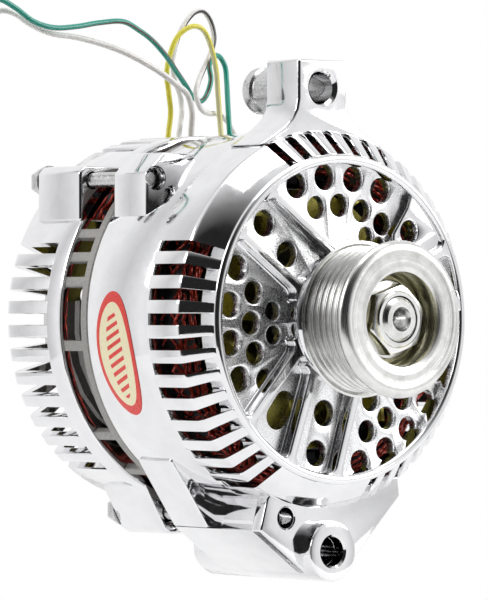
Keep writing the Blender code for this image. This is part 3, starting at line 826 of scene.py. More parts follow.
@dataclass
class FrontHousing:
    """The front housing: rim, pocketed face, finned shoulder, barrel, ears and pivot lug."""

    case: Case = field(default_factory=Case)
    rim_inner: float = 59.8
    rim_outer: float = 63.2
    floor: float = 5.0
    face_back: float = 9.0
    slot_end: float = 29.0
    end: float = 67.5
    rib_top: float = 0.2
    hub: float = 24.5
    fin_runs: tuple[Point, ...] = ((157.5, 240.0), (285.0, 472.5))

    ribs: dict[str, Rib] = field(
        default_factory=lambda: {
            "arm_top": Rib((-33.6, 47.2), (-8.3, 28.8)),
            "arm_low": Rib((-47.8, 30.6), (-27.5, 16.3)),
            "left_low": Rib((-44.4, -37.0), (-27.8, -18.7)),
            "foot_left": Rib((-24.0, -47.6), (-16.0, -24.8)),
            "foot_right": Rib((-1.2, -54.6), (6.0, -31.0)),
            "right_low": Rib((57.7, 5.5), (29.1, -7.2)),
            "right_top": Rib((50.4, 26.1), (27.9, 15.7)),
        }
    )
    step: tuple[Point, ...] = ((35.2, 47.3), (33.6, 43.0), (26.5, 33.0), (26.4, 30.6))
    step_top: float = 1.6
    long_hole: float = 231.2
    raised_hole: tuple[float, float, float] = (48.4, 44.2, 4.4)
    holes: tuple[tuple[float, float, float, int, float], ...] = (
        (54.5, 65.3, 15.25, 4, 4.75),
        (43.7, 57.1, 15.25, 4, 4.25),
        (35.5, 51.7, 12.3, 2, 3.5),
        (52.5, 158.3, 15.7, 4, 4.75),
        (42.0, 166.1, 15.8, 4, 4.25),
        (31.5, 174.3, 16.7, 2, 3.5),
        (56.2, 282.7, 14.2, 5, 4.4),
        (46.0, 290.3, 13.8, 3, 4.15),
        (36.0, 299.7, 22.0, 2, 4.0),
        (34.6, 134.5, 0.0, 1, 4.8),
        (50.8, 134.5, 0.0, 1, 4.8),
        (36.3, 261.0, 0.0, 1, 4.8),
        (52.0, 259.4, 0.0, 1, 4.8),
        (35.0, 14.0, 0.0, 1, 4.8),
        (51.0, 14.0, 0.0, 1, 4.8),
        (38.0, 343.0, 14.0, 1, 4.0),
    )

    def build(self, shop: Shop) -> None:
        """Builds the housing's pieces.

        Args:
            shop: the bench, the nodes and the finishes.
        """
        bench, chrome = shop.bench, shop.paints["chrome"]
        shell = bench.group([*self.shoulder(bench), self.barrel(bench)])
        bench.finish(shell, "front_case", Body.HOUSING, "chrome", chrome, ("front_housing",))
        rim = bench.group([self.rim(bench), self.hub_boss(bench)])
        bench.finish(rim, "front_rim", Body.HOUSING, "chrome", chrome)
        floor = self.floor_plate(bench)
        bench.finish(floor, "front_floor", Body.HOUSING, "chrome", shop.paints["grained_chrome"])
        bench.finish(self.ribs_and_step(bench), "front_ribs", Body.HOUSING, "chrome", chrome)
        bench.finish(self.ear(bench), "upper_ear", Body.HOUSING, "chrome", chrome)
        bench.finish(self.bolt_ears(bench), "front_bolt_ears", Body.HOUSING, "chrome", chrome)
        bench.finish(self.pivot_lug(bench), "pivot_lug", Body.HOUSING, "chrome", chrome)

    def wall(self, end: float) -> list[Point]:
        """The (radius, y) outline of the wall from the rim over the shoulder.

        Args:
            end: where the wall ends, along Y.

        Returns:
            The points.
        """
        r, inner = self.case.radius, self.case.inside
        outer = [(63.0, 1.4), (63.6, 1.6), (71.6, 10.5), (72.2, 11.3), (r, 12.6), (r, end)]
        return [*outer, (inner, end), (inner, 16.0), (62.4, 9.4), (62.4, 1.4)]

    def shoulder(self, bench: Bench) -> list[bpy.types.Object]:
        """The fins over the shoulder, and the stretches of full wall between their runs.

        Args:
            bench: the work bench.

        Returns:
            The bodies.
        """
        case, pieces = self.case, []
        angles = [a for run in self.fin_runs for a in fins_between(*run, case.pitch)]
        fin = case.fin(bench, self.wall(self.slot_end + 1.5), 0.35)
        pieces += bench.copies(fin, angles)
        half = case.half_slot()
        gaps = ((self.fin_runs[1][1] - 360 + half, self.fin_runs[0][0] - half),)
        gaps += ((self.fin_runs[0][1] + half, self.fin_runs[1][0] - half),)
        for start, stop in gaps:
            steps = round((stop - start) / 1.5)
            pieces.append(bench.turned(self.wall(self.slot_end + 1.5), steps, start, stop - start))
        return pieces

    def barrel(self, bench: Bench) -> bpy.types.Object:
        """The plain barrel behind the slots.

        Args:
            bench: the work bench.

        Returns:
            The body.
        """
        r, inner, front, end = self.case.radius, self.case.inside, self.slot_end, self.end
        profile = [(r - 0.5, front), (r - 0.15, front + 0.15), (r, front + 0.5), (r, end - 1.6)]
        profile += [(r - 0.4, end - 0.6), (r - 1.4, end), (inner, end), (inner, front)]
        return bench.turned(profile, 240)

    def rim(self, bench: Bench) -> bpy.types.Object:
        """The raised ring round the face, rounded on top.

        Args:
            bench: the work bench.

        Returns:
            The body.
        """
        low, high, middle = self.rim_inner - 0.4, self.rim_outer, (self.rim_inner + self.rim_outer) / 2
        half = (high - low) / 2
        arc = [polar(1, 180 - 180 * i / 10) for i in range(11)]
        top = [(middle - 0.2 + x * half, 1.5 - z * 1.5) for x, z in arc]
        return bench.turned([*top, (high, self.face_back), (low, self.face_back)], 240)

    def hub_boss(self, bench: Bench) -> bpy.types.Object:
        """The boss round the front bearing.

        Args:
            bench: the work bench.

        Returns:
            The body.
        """
        r = self.hub
        profile = [(13.5, -3), (r - 3.2, -3), (r - 1.6, -2.4), (r - 0.6, -1), (r, 0.6), (r, 8), (13.5, 8)]
        return bench.turned(profile, 96)

    @staticmethod
    def arc(start: Vector, stop: Vector, step: float) -> list[Point]:
        """Points from start to stop round the shaft, the short way, about a step apart.

        Args:
            start: where it starts.
            stop: where it stops.
            step: how far apart the points are.

        Returns:
            The points.
        """
        first, last = (math.degrees(math.atan2(p.y, p.x)) for p in (start, stop))
        sweep = (last - first + 180) % 360 - 180
        radius = start.length
        count = max(1, round(math.radians(abs(sweep)) * radius / step))
        return [polar(radius, first + sweep * i / count) for i in range(count + 1)]

    def floor_plate(self, bench: Bench) -> bpy.types.Object:
        """The floor inside the rim, with its holes.

        Args:
            bench: the work bench.

        Returns:
            The body.
        """
        low, high = self.floor, self.face_back
        profile = [(14.0, low), (self.rim_inner + 0.5, low), (self.rim_inner + 0.5, high), (14.0, high)]
        return bench.carve(bench.turned(profile, 160), *self.hole_tools(bench))

    def ribs_and_step(self, bench: Bench) -> bpy.types.Object:
        """The ribs on the floor, each with a fillet along its foot, and the raised corner.

        Args:
            bench: the work bench.

        Returns:
            The body.
        """
        low, parts = self.floor, []
        for rib in self.ribs.values():
            wall = bench.plate(rib.outline(self.rim_inner, self.hub), self.rib_top, 8.0)
            foot = bench.plate(rib.outline(self.rim_inner, self.hub, 0.8), low - 0.7, 8.0)
            parts += [bench.rounded(wall, 0.8, 3, 50), bench.rounded(foot, 0.62, 3, 50)]
        outer, inner = self.rim_inner + 0.5, self.hub - 1
        rim = self.arc(Vector(self.ribs["right_top"].meet(outer)), Vector(polar(outer, 53.0)), 4)
        core = self.arc(Vector(polar(inner, 49.0)), Vector(self.ribs["right_top"].meet(inner)), 4)
        corner = bench.rounded(bench.plate([*rim, *self.step, *core], self.step_top, 8.5), 0.8, 3, 50)
        radius, degrees, hole = self.raised_hole
        parts.append(bench.carve(corner, self.hole_tool(bench, polar(radius, degrees), hole, self.step_top)))
        return bench.group(parts)

    def hole_tools(self, bench: Bench) -> list[bpy.types.Object]:
        """Cutters for the face's holes, each with a chamfered mouth.

        Args:
            bench: the work bench.

        Returns:
            The bodies.
        """
        places = [(r, a + s * i, hole) for r, a, s, n, hole in self.holes for i in range(n)]
        places.append(self.raised_hole)
        tools = [self.hole_tool(bench, polar(r, degrees), hole, self.floor) for r, degrees, hole in places]
        near, far = (Vector(polar(radius, self.long_hole)) for radius in (41.0, 47.3))
        ends = ((far, -90), (near, 90))
        turns = [(end, self.long_hole + first + 15 * i) for end, first in ends for i in range(13)]
        tools.append(bench.plate([tuple(end + Vector(polar(5.0, a))) for end, a in turns], -4, 14))
        return tools

    @staticmethod
    def hole_tool(bench: Bench, place: Point, radius: float, top: float) -> bpy.types.Object:
        """A cutter for one round hole with a chamfer at the given level.

        Args:
            bench: the work bench.
            place: the (x, z) place of its axis.
            radius: the hole's radius.
            top: the level of the surface that it opens in.

        Returns:
            The body.
        """
        profile = [(0, -4), (radius + 0.75, -4), (radius + 0.75, top - 0.02), (radius + 0.3, top + 0.22)]
        profile += [(radius, top + 0.75), (radius, 14), (0, 14)]
        return bench.drum(place, profile, 36)

    def ear(self, bench: Bench) -> bpy.types.Object:
        """The upper mounting ear with its bolt hole.

        Args:
            bench: the work bench.

        Returns:
            The body.
        """
        side = [(12.2, 99.7), (12.2, 84.5), (13.0, 80.6), (15.2, 76.9)]
        side += [(19.0, 73.6), (24.0, 70.6), (31.5, 66.2)]
        left = [(-x, z) for x, z in reversed(side)]
        foot = self.arc(Vector((31.0, 63.9)), Vector((-31.0, 63.9)), 6)[1:-1]
        ear = bench.plate([*side, *foot, *left], 12.5, 32.0)
        bench.rounded(ear, 1.1, 4, 40)
        profile = [(0, 8), (7.4, 8), (7.4, 12.6), (6.6, 13.1), (5.9, 13.9), (5.9, 40), (0, 40)]
        return bench.carve(ear, bench.drum((0, MOUNT_HEIGHT), profile, 64))

    def bolt_ears(self, bench: Bench) -> bpy.types.Object:
        """The three ears for the through bolts; the lowest bolt runs in the tube of the pivot lug.

        Args:
            bench: the work bench.

        Returns:
            The body.
        """
        upper = [(-61, 39), (-61, 55.8), (-52.5, 63.8), (-38, 63.8), (-34, 55), (-44, 44)]
        lower = [(-49.5, -54), (-31.2, -80.3), (-10, -80.3), (-10, -68), (-38, -50)]
        ears = []
        hole = [(0, 42), (5.3, 42), (4.6, 45.2), (4.2, 45.9), (4.2, 50), (3.4, 50.2), (3.4, 70), (0, 70)]
        for outline, degrees in zip((upper, lower, self.case.right_ear), self.case.bolt_angles):
            ear = bench.rounded(bench.plate(outline, 44.5, 65.0), 0.9, 3)
            if outline is not lower:
                bench.carve(ear, bench.drum(polar(self.case.bolt_circle, degrees), hole, 48))
            ears.append(ear)
        return bench.group(ears)

    def pivot_lug(self, bench: Bench) -> bpy.types.Object:
        """The plate, block and boss that carry the pivot bolt, and the tube of the lowest through bolt.

        Args:
            bench: the work bench.

        Returns:
            The body.
        """
        low, right, mount = (-31.2, -80.3), (17.3, -91.0), -MOUNT_HEIGHT
        boss_radius = 11.6
        sides = [self.tangent(low, 1, boss_radius), self.tangent(right, -1, boss_radius)]
        edge = [low, *sides, right, (39.5, -68.8), (38.5, -61)]
        plate = bench.rounded(bench.plate([*edge, (-26, -66), (-27.8, -68.3)], 12.5, 18.5), 0.7, 3)
        block = bench.rounded(bench.plate([*edge, (14, -68), (14, -80.3)], 13.2, 65.0), 0.7, 3)
        boss = [(boss_radius - 1.2, 6.5), (boss_radius - 0.3, 6.8), (boss_radius, 7.6), (boss_radius, 76)]
        boss += [(boss_radius - 0.9, 78.2), (boss_radius - 2.8, 79), (5.75, 79), (5.75, 7.3), (6.6, 6.5)]
        bolt = polar(self.case.bolt_circle, self.case.bolt_angles[1])
        tube = [(9.0, 13.0), (9.3, 14), (9.3, 64), (8.6, 66.5), (7, 67.3), (4.1, 67.3), (4.1, 13.0)]
        hole = [(0, 10), (5.0, 10), (4.6, 12.6), (4.1, 13.1), (4.1, 70), (0, 70)]
        pivot = [(0, 5), (5.7, 5), (5.7, 85), (0, 85)]
        for body in (plate, block):
            bench.carve(body, bench.drum(bolt, hole, 40), bench.drum((0, mount), pivot, 48))
        return bench.group([plate, block, bench.drum((0, mount), boss, 72), bench.drum(bolt, tube, 48)])

    @staticmethod
    def tangent(point: Point, side: int, radius: float) -> Point:
        """Where the line from a point touches the pivot boss.

        Args:
            point: where the line starts.
            side: 1 or -1, for the side it touches.
            radius: the boss's radius.

        Returns:
            The point.
        """
        reach = Vector(point) - Vector((0, -MOUNT_HEIGHT))
        angle = math.atan2(reach.y, reach.x) + math.acos(radius / reach.length) * side
        x, z = polar(radius - 0.1, math.degrees(angle))
        return x, z - MOUNT_HEIGHT


# ---------------------------------------------------------------- rear housing


@dataclass
class RearHousing:
    """The rear housing: rim, fins that wrap on to the rear face, ears and the rear disc."""

    case: Case = field(default_factory=Case)
    start: float = 83.8
    slot_start: float = 92.6
    face: float = 119.0
    floor: float = 114.5
    slot_inner: float = 54.0
    clear_of_bolt: float = 17.0

    def slot_angles(self) -> list[float]:
        """Slots all round on one pitch, apart from beside the bolt ears."""
        angles = [self.case.pitch * i for i in range(48)]
        return [a for a in angles if self.from_bolt(a) > self.clear_of_bolt]

    def from_bolt(self, angle: float) -> float:
        """How far this angle is from the nearest through bolt."""
        return min(abs((angle - bolt + 180) % 360 - 180) for bolt in self.case.bolt_angles)

    def wall(self) -> list[Point]:
        """The (radius, y) outline of the wall behind the rim, turned in to the rear face."""
        r, inner, back = self.case.radius, self.case.inside, self.face
        outer = [(r, self.slot_start - 1), (r, back - 2.4), (r - 0.7, back - 0.7), (r - 2.4, back)]
        edge, floor = self.slot_inner - 1.5, self.floor
        return [*outer, (edge, back), (edge, floor), (inner, floor), (inner, self.slot_start - 1)]

    def build(self, shop: Shop) -> None:
        """Builds the housing's pieces.

        Args:
            shop: the bench, the nodes and the finishes.
        """
        bench, chrome = shop.bench, shop.paints["chrome"]
        case, slots = self.case, self.slot_angles()
        fins = [a + case.pitch / 2 for a in slots if (a + case.pitch) % 360 in slots]
        pieces = bench.copies(case.fin(bench, self.wall(), 0.5), fins)
        half = case.half_slot()
        for slot in (a for a in slots if (a + case.pitch) % 360 not in slots):
            stop = next(a for a in [*slots, *[s + 360 for s in slots]] if a > slot + 1)
            sweep = stop - slot - 2 * half
            pieces.append(bench.turned(self.wall(), round(sweep / 1.5), slot + half, sweep))
        r, inner, start = case.radius, case.inside, self.start
        rim = [(inner, start), (r - 1.2, start), (r - 0.3, start + 0.4), (r, start + 1.2)]
        pieces.append(bench.turned([*rim, (r, self.slot_start), (inner, self.slot_start)], 240))
        shell = bench.group(pieces)
        bench.finish(shell, "rear_case", Body.HOUSING, "chrome", chrome, ("rear_housing",))
        bench.finish(self.disc(bench), "rear_face", Body.HOUSING, "chrome", chrome)
        bench.finish(self.ears(bench), "rear_bolt_ears", Body.HOUSING, "chrome", chrome)

    def disc(self, bench: Bench) -> bpy.types.Object:
        """The middle of the rear face, with its vents, bearing boss and the stud's hole.

        Args:
            bench: the work bench.

        Returns:
            The body.
        """
        back, edge, floor = self.face, self.slot_inner, self.floor
        profile = [(0, 115.6), (17.8, 115.6), (17.8, 103), (22, 103), (22, floor), (edge, floor)]
        profile += [(edge, back - 0.6), (edge - 0.6, back), (23, back), (21.6, back + 0.8)]
        profile += [(20.4, back + 2.2), (19.4, back + 2.5), (9, back + 2.5), (8, back + 1.7), (0, back + 1.7)]
        disc = bench.turned(profile, 144)
        vents = [bench.drum(polar(36, 15 + 30 * i), self.vent(4.0, 4.7), 32) for i in range(12)]
        vents.append(bench.drum(polar(STUD_RADIUS, STUD_ANGLE), self.vent(6.0, 6.4), 40))
        return bench.carve(disc, *vents)

    def vent(self, radius: float, mouth: float) -> list[Point]:
        """The outline of a cutter for a hole in the rear face, with a chamfered mouth."""
        back = self.face
        return [(0, 112), (radius, 112), (radius, back - 0.6), (mouth, back + 0.02), (mouth, 125), (0, 125)]

    def ears(self, bench: Bench) -> bpy.types.Object:
        """The three ears behind the front housing's, each bored for its bolt.

        Args:
            bench: the work bench.

        Returns:
            The body.
        """
        upper = [(-62.7, 38), (-62.7, 57), (-60, 59.6), (-42, 59.6), (-38, 52), (-50, 38)]
        lower = [(-34, -60), (-21, -82.6), (-18, -84.4), (-6, -84.4), (-1, -70), (-24, -60)]
        ears = []
        for outline, degrees in zip((upper, lower, self.case.right_ear), self.case.bolt_angles):
            ear = bench.rounded(bench.plate(outline, self.start, 111.0), 1.1, 4)
            hole = [(0, 80), (4.3, 80), (3.4, 84.6), (3.4, 115), (0, 115)]
            ears.append(bench.carve(ear, bench.drum(polar(self.case.bolt_circle, degrees), hole, 40)))
        return bench.group(ears)


@dataclass
class SpacerRing:
    """The bare cast ring that holds the housings apart, with its castellated bars."""

    case: Case = field(default_factory=Case)
    inner: float = 68.3
    outer: float = 71.8
    front: float = 67.8
    strip: float = 72.0
    back: float = 83.4
    offsets: tuple[float, ...] = (16, 24, 32, 52, 83, 100)

    def build(self, shop: Shop) -> None:
        """Builds the ring.

        Args:
            shop: the bench, the nodes and the finishes.
        """
        bench = shop.bench
        low, high, front, strip = self.inner, self.outer, self.front, self.strip
        profile = [(low, front), (high - 0.5, front), (high, front + 0.5), (high, strip - 0.4)]
        ring = bench.turned([*profile, (high - 0.4, strip), (low, strip)], 240)
        bar = bench.block((low + 0.2, strip - 1, -2.0), (high - 0.2, self.back, 2.0), 0.5)
        angles = [bolt + offset for bolt in self.case.bolt_angles for offset in self.offsets]
        ring = bench.group([ring, *bench.copies(bar, angles)])
        bench.finish(ring, "cast_spacer", Body.HOUSING, "cast", shop.paints["cast"], ("spacer_ring",))


# ---------------------------------------------------------------- windings


@dataclass
class Stator:
    """The laminated core and the enamelled wire that stands out at both its ends."""

    bore: float = 52.0
    outer: float = 68.4
    front: float = 31.0
    back: float = 63.0
    teeth: int = 36

    def build(self, shop: Shop) -> None:
        """Builds the core, both ends of the winding, and a black mass of painted shade inside each end.

        Args:
            shop: the bench, the nodes and the finishes.
        """
        bench = shop.bench
        bore, outer, front, back = self.bore, self.outer, self.front, self.back
        core = bench.turned([(bore + 4, front), (outer, front), (outer, back), (bore + 4, back)], 144)
        tooth = bench.block((bore, front + 0.2, -3.1), (bore + 6, back - 0.2, 3.1), 0.4, 1)
        teeth = bench.copies(tooth, [360 / self.teeth * i for i in range(self.teeth)])
        core = bench.group([core, *teeth])
        # The black moulding is also used as painted shade inside the end turns.
        sheets, painted_shade_black = shop.paints["laminations"], shop.paints["black_plastic"]
        bench.finish(core, "stator_laminations", Body.HOUSING, "laminations", sheets, ("stator_core",))
        for name, root, tip, node in (
            ("front_end_turns", self.front, 16.8, "stator_winding_front"),
            ("rear_end_turns", self.back, 81.6, "stator_winding_rear"),
        ):
            turns = self.end_turns(bench, root, tip)
            bench.finish(turns, name, Body.HOUSING, "copper", shop.paints["enamel"], (node,), 60)
            # A black mass inside each end of the winding is painted shade between the wires.
            painted_shade_mass = self.painted_shade_mass(bench, root, tip)
            bench.finish(painted_shade_mass, name.replace("end_turns", "painted_shade_black"), Body.HOUSING, "laminations", painted_shade_black)

    def painted_shade_mass(self, bench: Bench, root: float, tip: float) -> bpy.types.Object:
        """A black mass inside the turns: painted shade in the gaps between the wires.

        Args:
            bench: the work bench.
            root: where the turns leave the core, along Y.
            tip: where they end, along Y.

        Returns:
            The body.
        """
        out = 1 if tip > root else -1
        top = tip - 2.2 * out
        profile = [(57, root), (64.4, root), (64.4, tip - 4.5 * out), (62.6, top), (58.6, top)]
        return bench.turned([*profile, (57, tip - 4 * out)], 96)

    def end_turns(self, bench: Bench, root: float, tip: float) -> bpy.types.Object:
        """Bundles of wire that leave one slot, lean over and dive into another.

        Args:
            bench: the work bench.
            root: where the turns leave the core, along Y.
            tip: where they end, along Y.

        Returns:
            The body.
        """
        curve = bpy.data.curves.new("turns", "CURVE")
        curve.dimensions, curve.bevel_depth, curve.bevel_resolution = "3D", 0.72, 1
        out = 1 if tip > root else -1
        for slot in range(self.teeth):
            for layer in range(5):
                radius = 57.4 + layer * 1.85
                lean = 22 + 1.5 * layer
                height = abs(tip - root) - 1.2 * abs(2 - layer) - 0.5
                shift = (layer * 7 + slot * 3) % 5 * 0.7
                spline = curve.splines.new("BEZIER")
                spline.bezier_points.add(2)
                base = 360 / self.teeth * slot + shift
                stations = ((0, 0), (0.5, 1), (1, 0))
                for knot, (along, up) in zip(spline.bezier_points, stations):
                    x, z = polar(radius, base + lean * along)
                    knot.co = (x, root + out * (up * height), z)
                    knot.handle_left_type = knot.handle_right_type = "AUTO"
                spline.resolution_u = 5
        obj = bpy.data.objects.new("turns", curve)
        bpy.context.scene.collection.objects.link(obj)
        bench.hold(obj)
        bpy.ops.object.convert(target="MESH")
        return bpy.context.object


# ---------------------------------------------------------------- pulley and shaft end


@dataclass
class PulleySet:
    """The grooved pulley, its nut and the end of the shaft."""

    front: float = -34.0
    back: float = -9.5
    radius: float = 29.8
    recess: float = 17.5
    recess_floor: float = -22.0
    grooves: int = 6
    pitch: float = 3.4
    crest: float = 27.6
    root: float = 24.6
    bore: float = 8.8
    across_flats: float = 24.0

    def profile(self) -> list[Point]:
        """The pulley's (radius, y) outline."""
        f, r, n = self.front, self.radius, 12
        dome = [polar(1, 115 - 115 * i / n) for i in range(n + 1)]
        outline = [(r - 3.6 + 3.6 * x, f + 2.7 - 2.7 * z) for x, z in dome]
        crest, root, back, recess, floor = self.crest, self.root, self.back, self.recess, self.recess_floor
        outline += [(r - 0.2, f + 3.0), (crest, f + 3.5)]
        groove = ((crest + 0.1, 0.35), (root + 0.3, 1.45), (root, 1.7))
        groove += ((root + 0.3, 1.95), (crest + 0.1, 3.05), (crest + 0.2, 3.4))
        for i in range(self.grooves):
            start = f + 3.5 + self.pitch * i
            outline += [(radius, start + along) for radius, along in groove]
        last = outline[-1][1]
        outline += [(crest, last + 0.1), (r - 0.8, back - 0.9), (r, back - 0.6), (r - 0.3, back)]
        outline += [(self.bore, back), (self.bore, floor), (recess - 0.6, floor), (recess, floor - 0.6)]
        return [*outline, (recess, f + 1.6), (recess + 0.5, f + 0.7), (recess + 1.6, f + 0.15), (r - 8.0, f)]

    def build(self, shop: Shop) -> None:
        """Builds the three pieces.

        Args:
            shop: the bench, the nodes and the finishes.
        """
        bench, bright = shop.bench, shop.paints["turned_bright"]
        pulley = bench.turned(self.profile(), 160)
        pulley.data.materials.append(bright)
        # The second material, a darker olive steel on the faces deep in the recess, is painted shade inside
        # the pulley's recess.
        pulley.data.materials.append(shop.paints["recess"])
        for polygon in pulley.data.polygons:
            middle = polygon.center
            deep = math.hypot(middle.x, middle.z) < self.recess + 0.3 and middle.y < -15
            polygon.material_index = int(deep)
        bench.finish(pulley, "grooved_pulley", Body.ROTOR, "pulley_steel", bright, ("pulley",))
        nut = self.nut(bench)
        bench.finish(nut, "flanged_nut", Body.ROTOR, "steel", shop.paints["nut_steel"], ("pulley_nut",))
        shaft = bench.turned(self.shaft_profile(), 64)
        bench.finish(shaft, "shaft", Body.ROTOR, "steel", bright, ("rotor_shaft",))

    def nut(self, bench: Bench) -> bpy.types.Object:
        """A hexagon nut with chamfered corners and a washer face.

        Args:
            bench: the work bench.

        Returns:
            The body.
        """
        across = self.across_flats / 2
        corner = across / math.cos(math.pi / 6)
        nut = bench.hexagon((0, -27.0, 0), corner, 7.6)
        nut.data.transform(Matrix.Rotation(math.radians(12), 4, "Y"))
        cone = [(0, -31.2), (across - 0.3, -31.2), (corner + 0.6, -29.6), (corner + 0.6, -22.0), (0, -22.0)]
        bench.carve(nut, bench.turned(cone, 96), keep=True)
        bench.rounded(nut, 0.25, 2, 40)
        flange = [(8.9, -25.6), (14.6, -25.2), (15.2, -24.6), (15.2, -22.9), (14.8, -22.4), (8.9, -22.4)]
        washer = bench.turned(flange, 96)
        collar = bench.turned([(8.9, -31.9), (10.2, -31.9), (10.8, -31.4), (11.0, -30.6), (8.9, -30.6)], 96)
        bench.carve(nut, bench.turned([(0, -34), (10.2, -34), (8.9, -30.9), (8.9, -20), (0, -20)], 96))
        return bench.group([nut, washer, collar])

    def shaft_profile(self) -> list[Point]:
        """The shaft's (radius, y) outline, with a centre drilling and a rolled thread at the front."""
        profile = [(0, -24.5), (2.6, -28), (2.85, -30.4), (4.2, -32.2), (4.6, -33), (6.9, -33), (8.0, -32.1)]
        for i in range(6):
            y = -31.6 + 1.5 * i
            profile += [(8.45, y), (7.7, y + 0.75)]
        profile += [(8.5, -22.4), (8.5, 16.3), (10, 16.3), (10, 102.6)]
        return [*profile, (7.5, 102.6), (7.5, 114.2), (6.5, 115.2), (0, 115.2)]


# ---------------------------------------------------------------- bushing, label, bolts


@dataclass
class EarBushing:
    """The flanged steel sleeve behind the upper ear."""

    hole: float = 5.65

    def build(self, shop: Shop) -> None:
        """Builds the sleeve.

        Args:
            shop: the bench, the nodes and the finishes.
        """
        bench, hole = shop.bench, self.hole
        profile = [(hole, 32.3), (8.0, 32.3), (8.0, 34.6), (8.7, 35.2), (8.7, 43.6), (8.1, 44.2), (8.1, 45.2)]
        profile += [(9.1, 46.0), (9.1, 49.6), (8.3, 51.0), (6.4, 51.0), (hole, 50.2)]
        sleeve, steel = bench.drum((0, MOUNT_HEIGHT), profile, 72), shop.paints["bright_steel"]
        bench.finish(sleeve, "threaded_bushing", Body.HOUSING, "steel", steel, ("ear_bushing",))


@dataclass
class Label:
    """The oval label on the barrel, as a thin film bent round it."""

    half_height: float = 24.5
    half_width: float = 11.0
    middle: float = 50.0
    degrees: float = 190.8
    radius: float = 72.5
    tilt: float = -4.0

    def build(self, shop: Shop) -> None:
        """Builds the film and its UV map.

        Args:
            shop: the bench, the nodes and the finishes.
        """
        bench = shop.bench
        bench.clear()
        bpy.ops.mesh.primitive_circle_add(vertices=96, radius=1, fill_type="NGON")
        film = bpy.context.object
        bpy.ops.object.mode_set(mode="EDIT")
        for _ in range(11):
            bpy.ops.mesh.inset(thickness=0.085)
        bpy.ops.mesh.poke()
        bpy.ops.object.mode_set(mode="OBJECT")
        flat = [vertex.co.copy() for vertex in film.data.vertices]
        layer = film.data.uv_layers.active or film.data.uv_layers.new(name="UVMap")
        for loop in film.data.loops:
            layer.data[loop.index].uv = flat[loop.vertex_index].xy
        lean = math.radians(self.tilt)
        for vertex, spot in zip(film.data.vertices, flat):
            y, up = spot.x * self.half_width, spot.y * self.half_height
            y, up = y * math.cos(lean) - up * math.sin(lean), y * math.sin(lean) + up * math.cos(lean)
            lift = 0.34 if spot.length < 0.99 else 0.2
            x, z = polar(self.radius + lift, self.degrees + math.degrees(-up / self.radius))
            vertex.co = (x, self.middle + y, z)
        bench.hold(film)
        bpy.ops.object.mode_set(mode="EDIT")
        bpy.ops.mesh.select_all(action="SELECT")
        bpy.ops.mesh.normals_make_consistent(inside=False)
        bpy.ops.object.mode_set(mode="OBJECT")
        outward = sum(p.normal.x * p.area for p in film.data.polygons)
        if outward > 0:
            film.data.flip_normals()
        solidify = film.modifiers.new("film", "SOLIDIFY")
        solidify.thickness, solidify.offset = 0.12, -1
        bench.apply(film)
        bench.finish(film, "oval_badge", Body.HOUSING, "label_cream", shop.paints["label"], ("oval_label",))


@dataclass
class ThroughBolts:
    """The three long bolts that hold the housings together."""

    case: Case = field(default_factory=Case)
    tips: tuple[float, ...] = (48.0, 22.0, 48.0)
    seat: float = 111.3

    def build(self, shop: Shop) -> None:
        """Builds each bolt, with its thread and its hexagon head.

        Args:
            shop: the bench, the nodes and the finishes.
        """
        bench = shop.bench
        for number, (degrees, tip) in enumerate(zip(self.case.bolt_angles, self.tips), 1):
            profile = [(0, tip), (2.3, tip), (2.9, tip + 0.7)]
            for i in range(10):
                profile += [(2.95, tip + 1.2 + i), (2.65, tip + 1.7 + i)]
            profile += [(2.95, tip + 12), (2.95, self.seat + 1), (0, self.seat + 1)]
            place = polar(self.case.bolt_circle, degrees)
            shank = bench.drum(place, profile, 28)
            seat = self.seat
            washer = [(0, seat), (6.4, seat), (6.4, seat + 0.9), (5.6, seat + 1.4), (0, seat + 1.4)]
            flange = bench.drum(place, washer, 40)
            head = bench.rounded(bench.hexagon((place[0], 114.9, place[1]), 5.6, 4.6), 0.5, 2)
            bolt = bench.group([shank, flange, head])
            steel, node = shop.paints["bright_steel"], f"through_bolt_{number}"
            bench.finish(bolt, f"long_bolt_{number}", Body.HOUSING, "steel", steel, (node,))


# ---------------------------------------------------------------- rear electrics


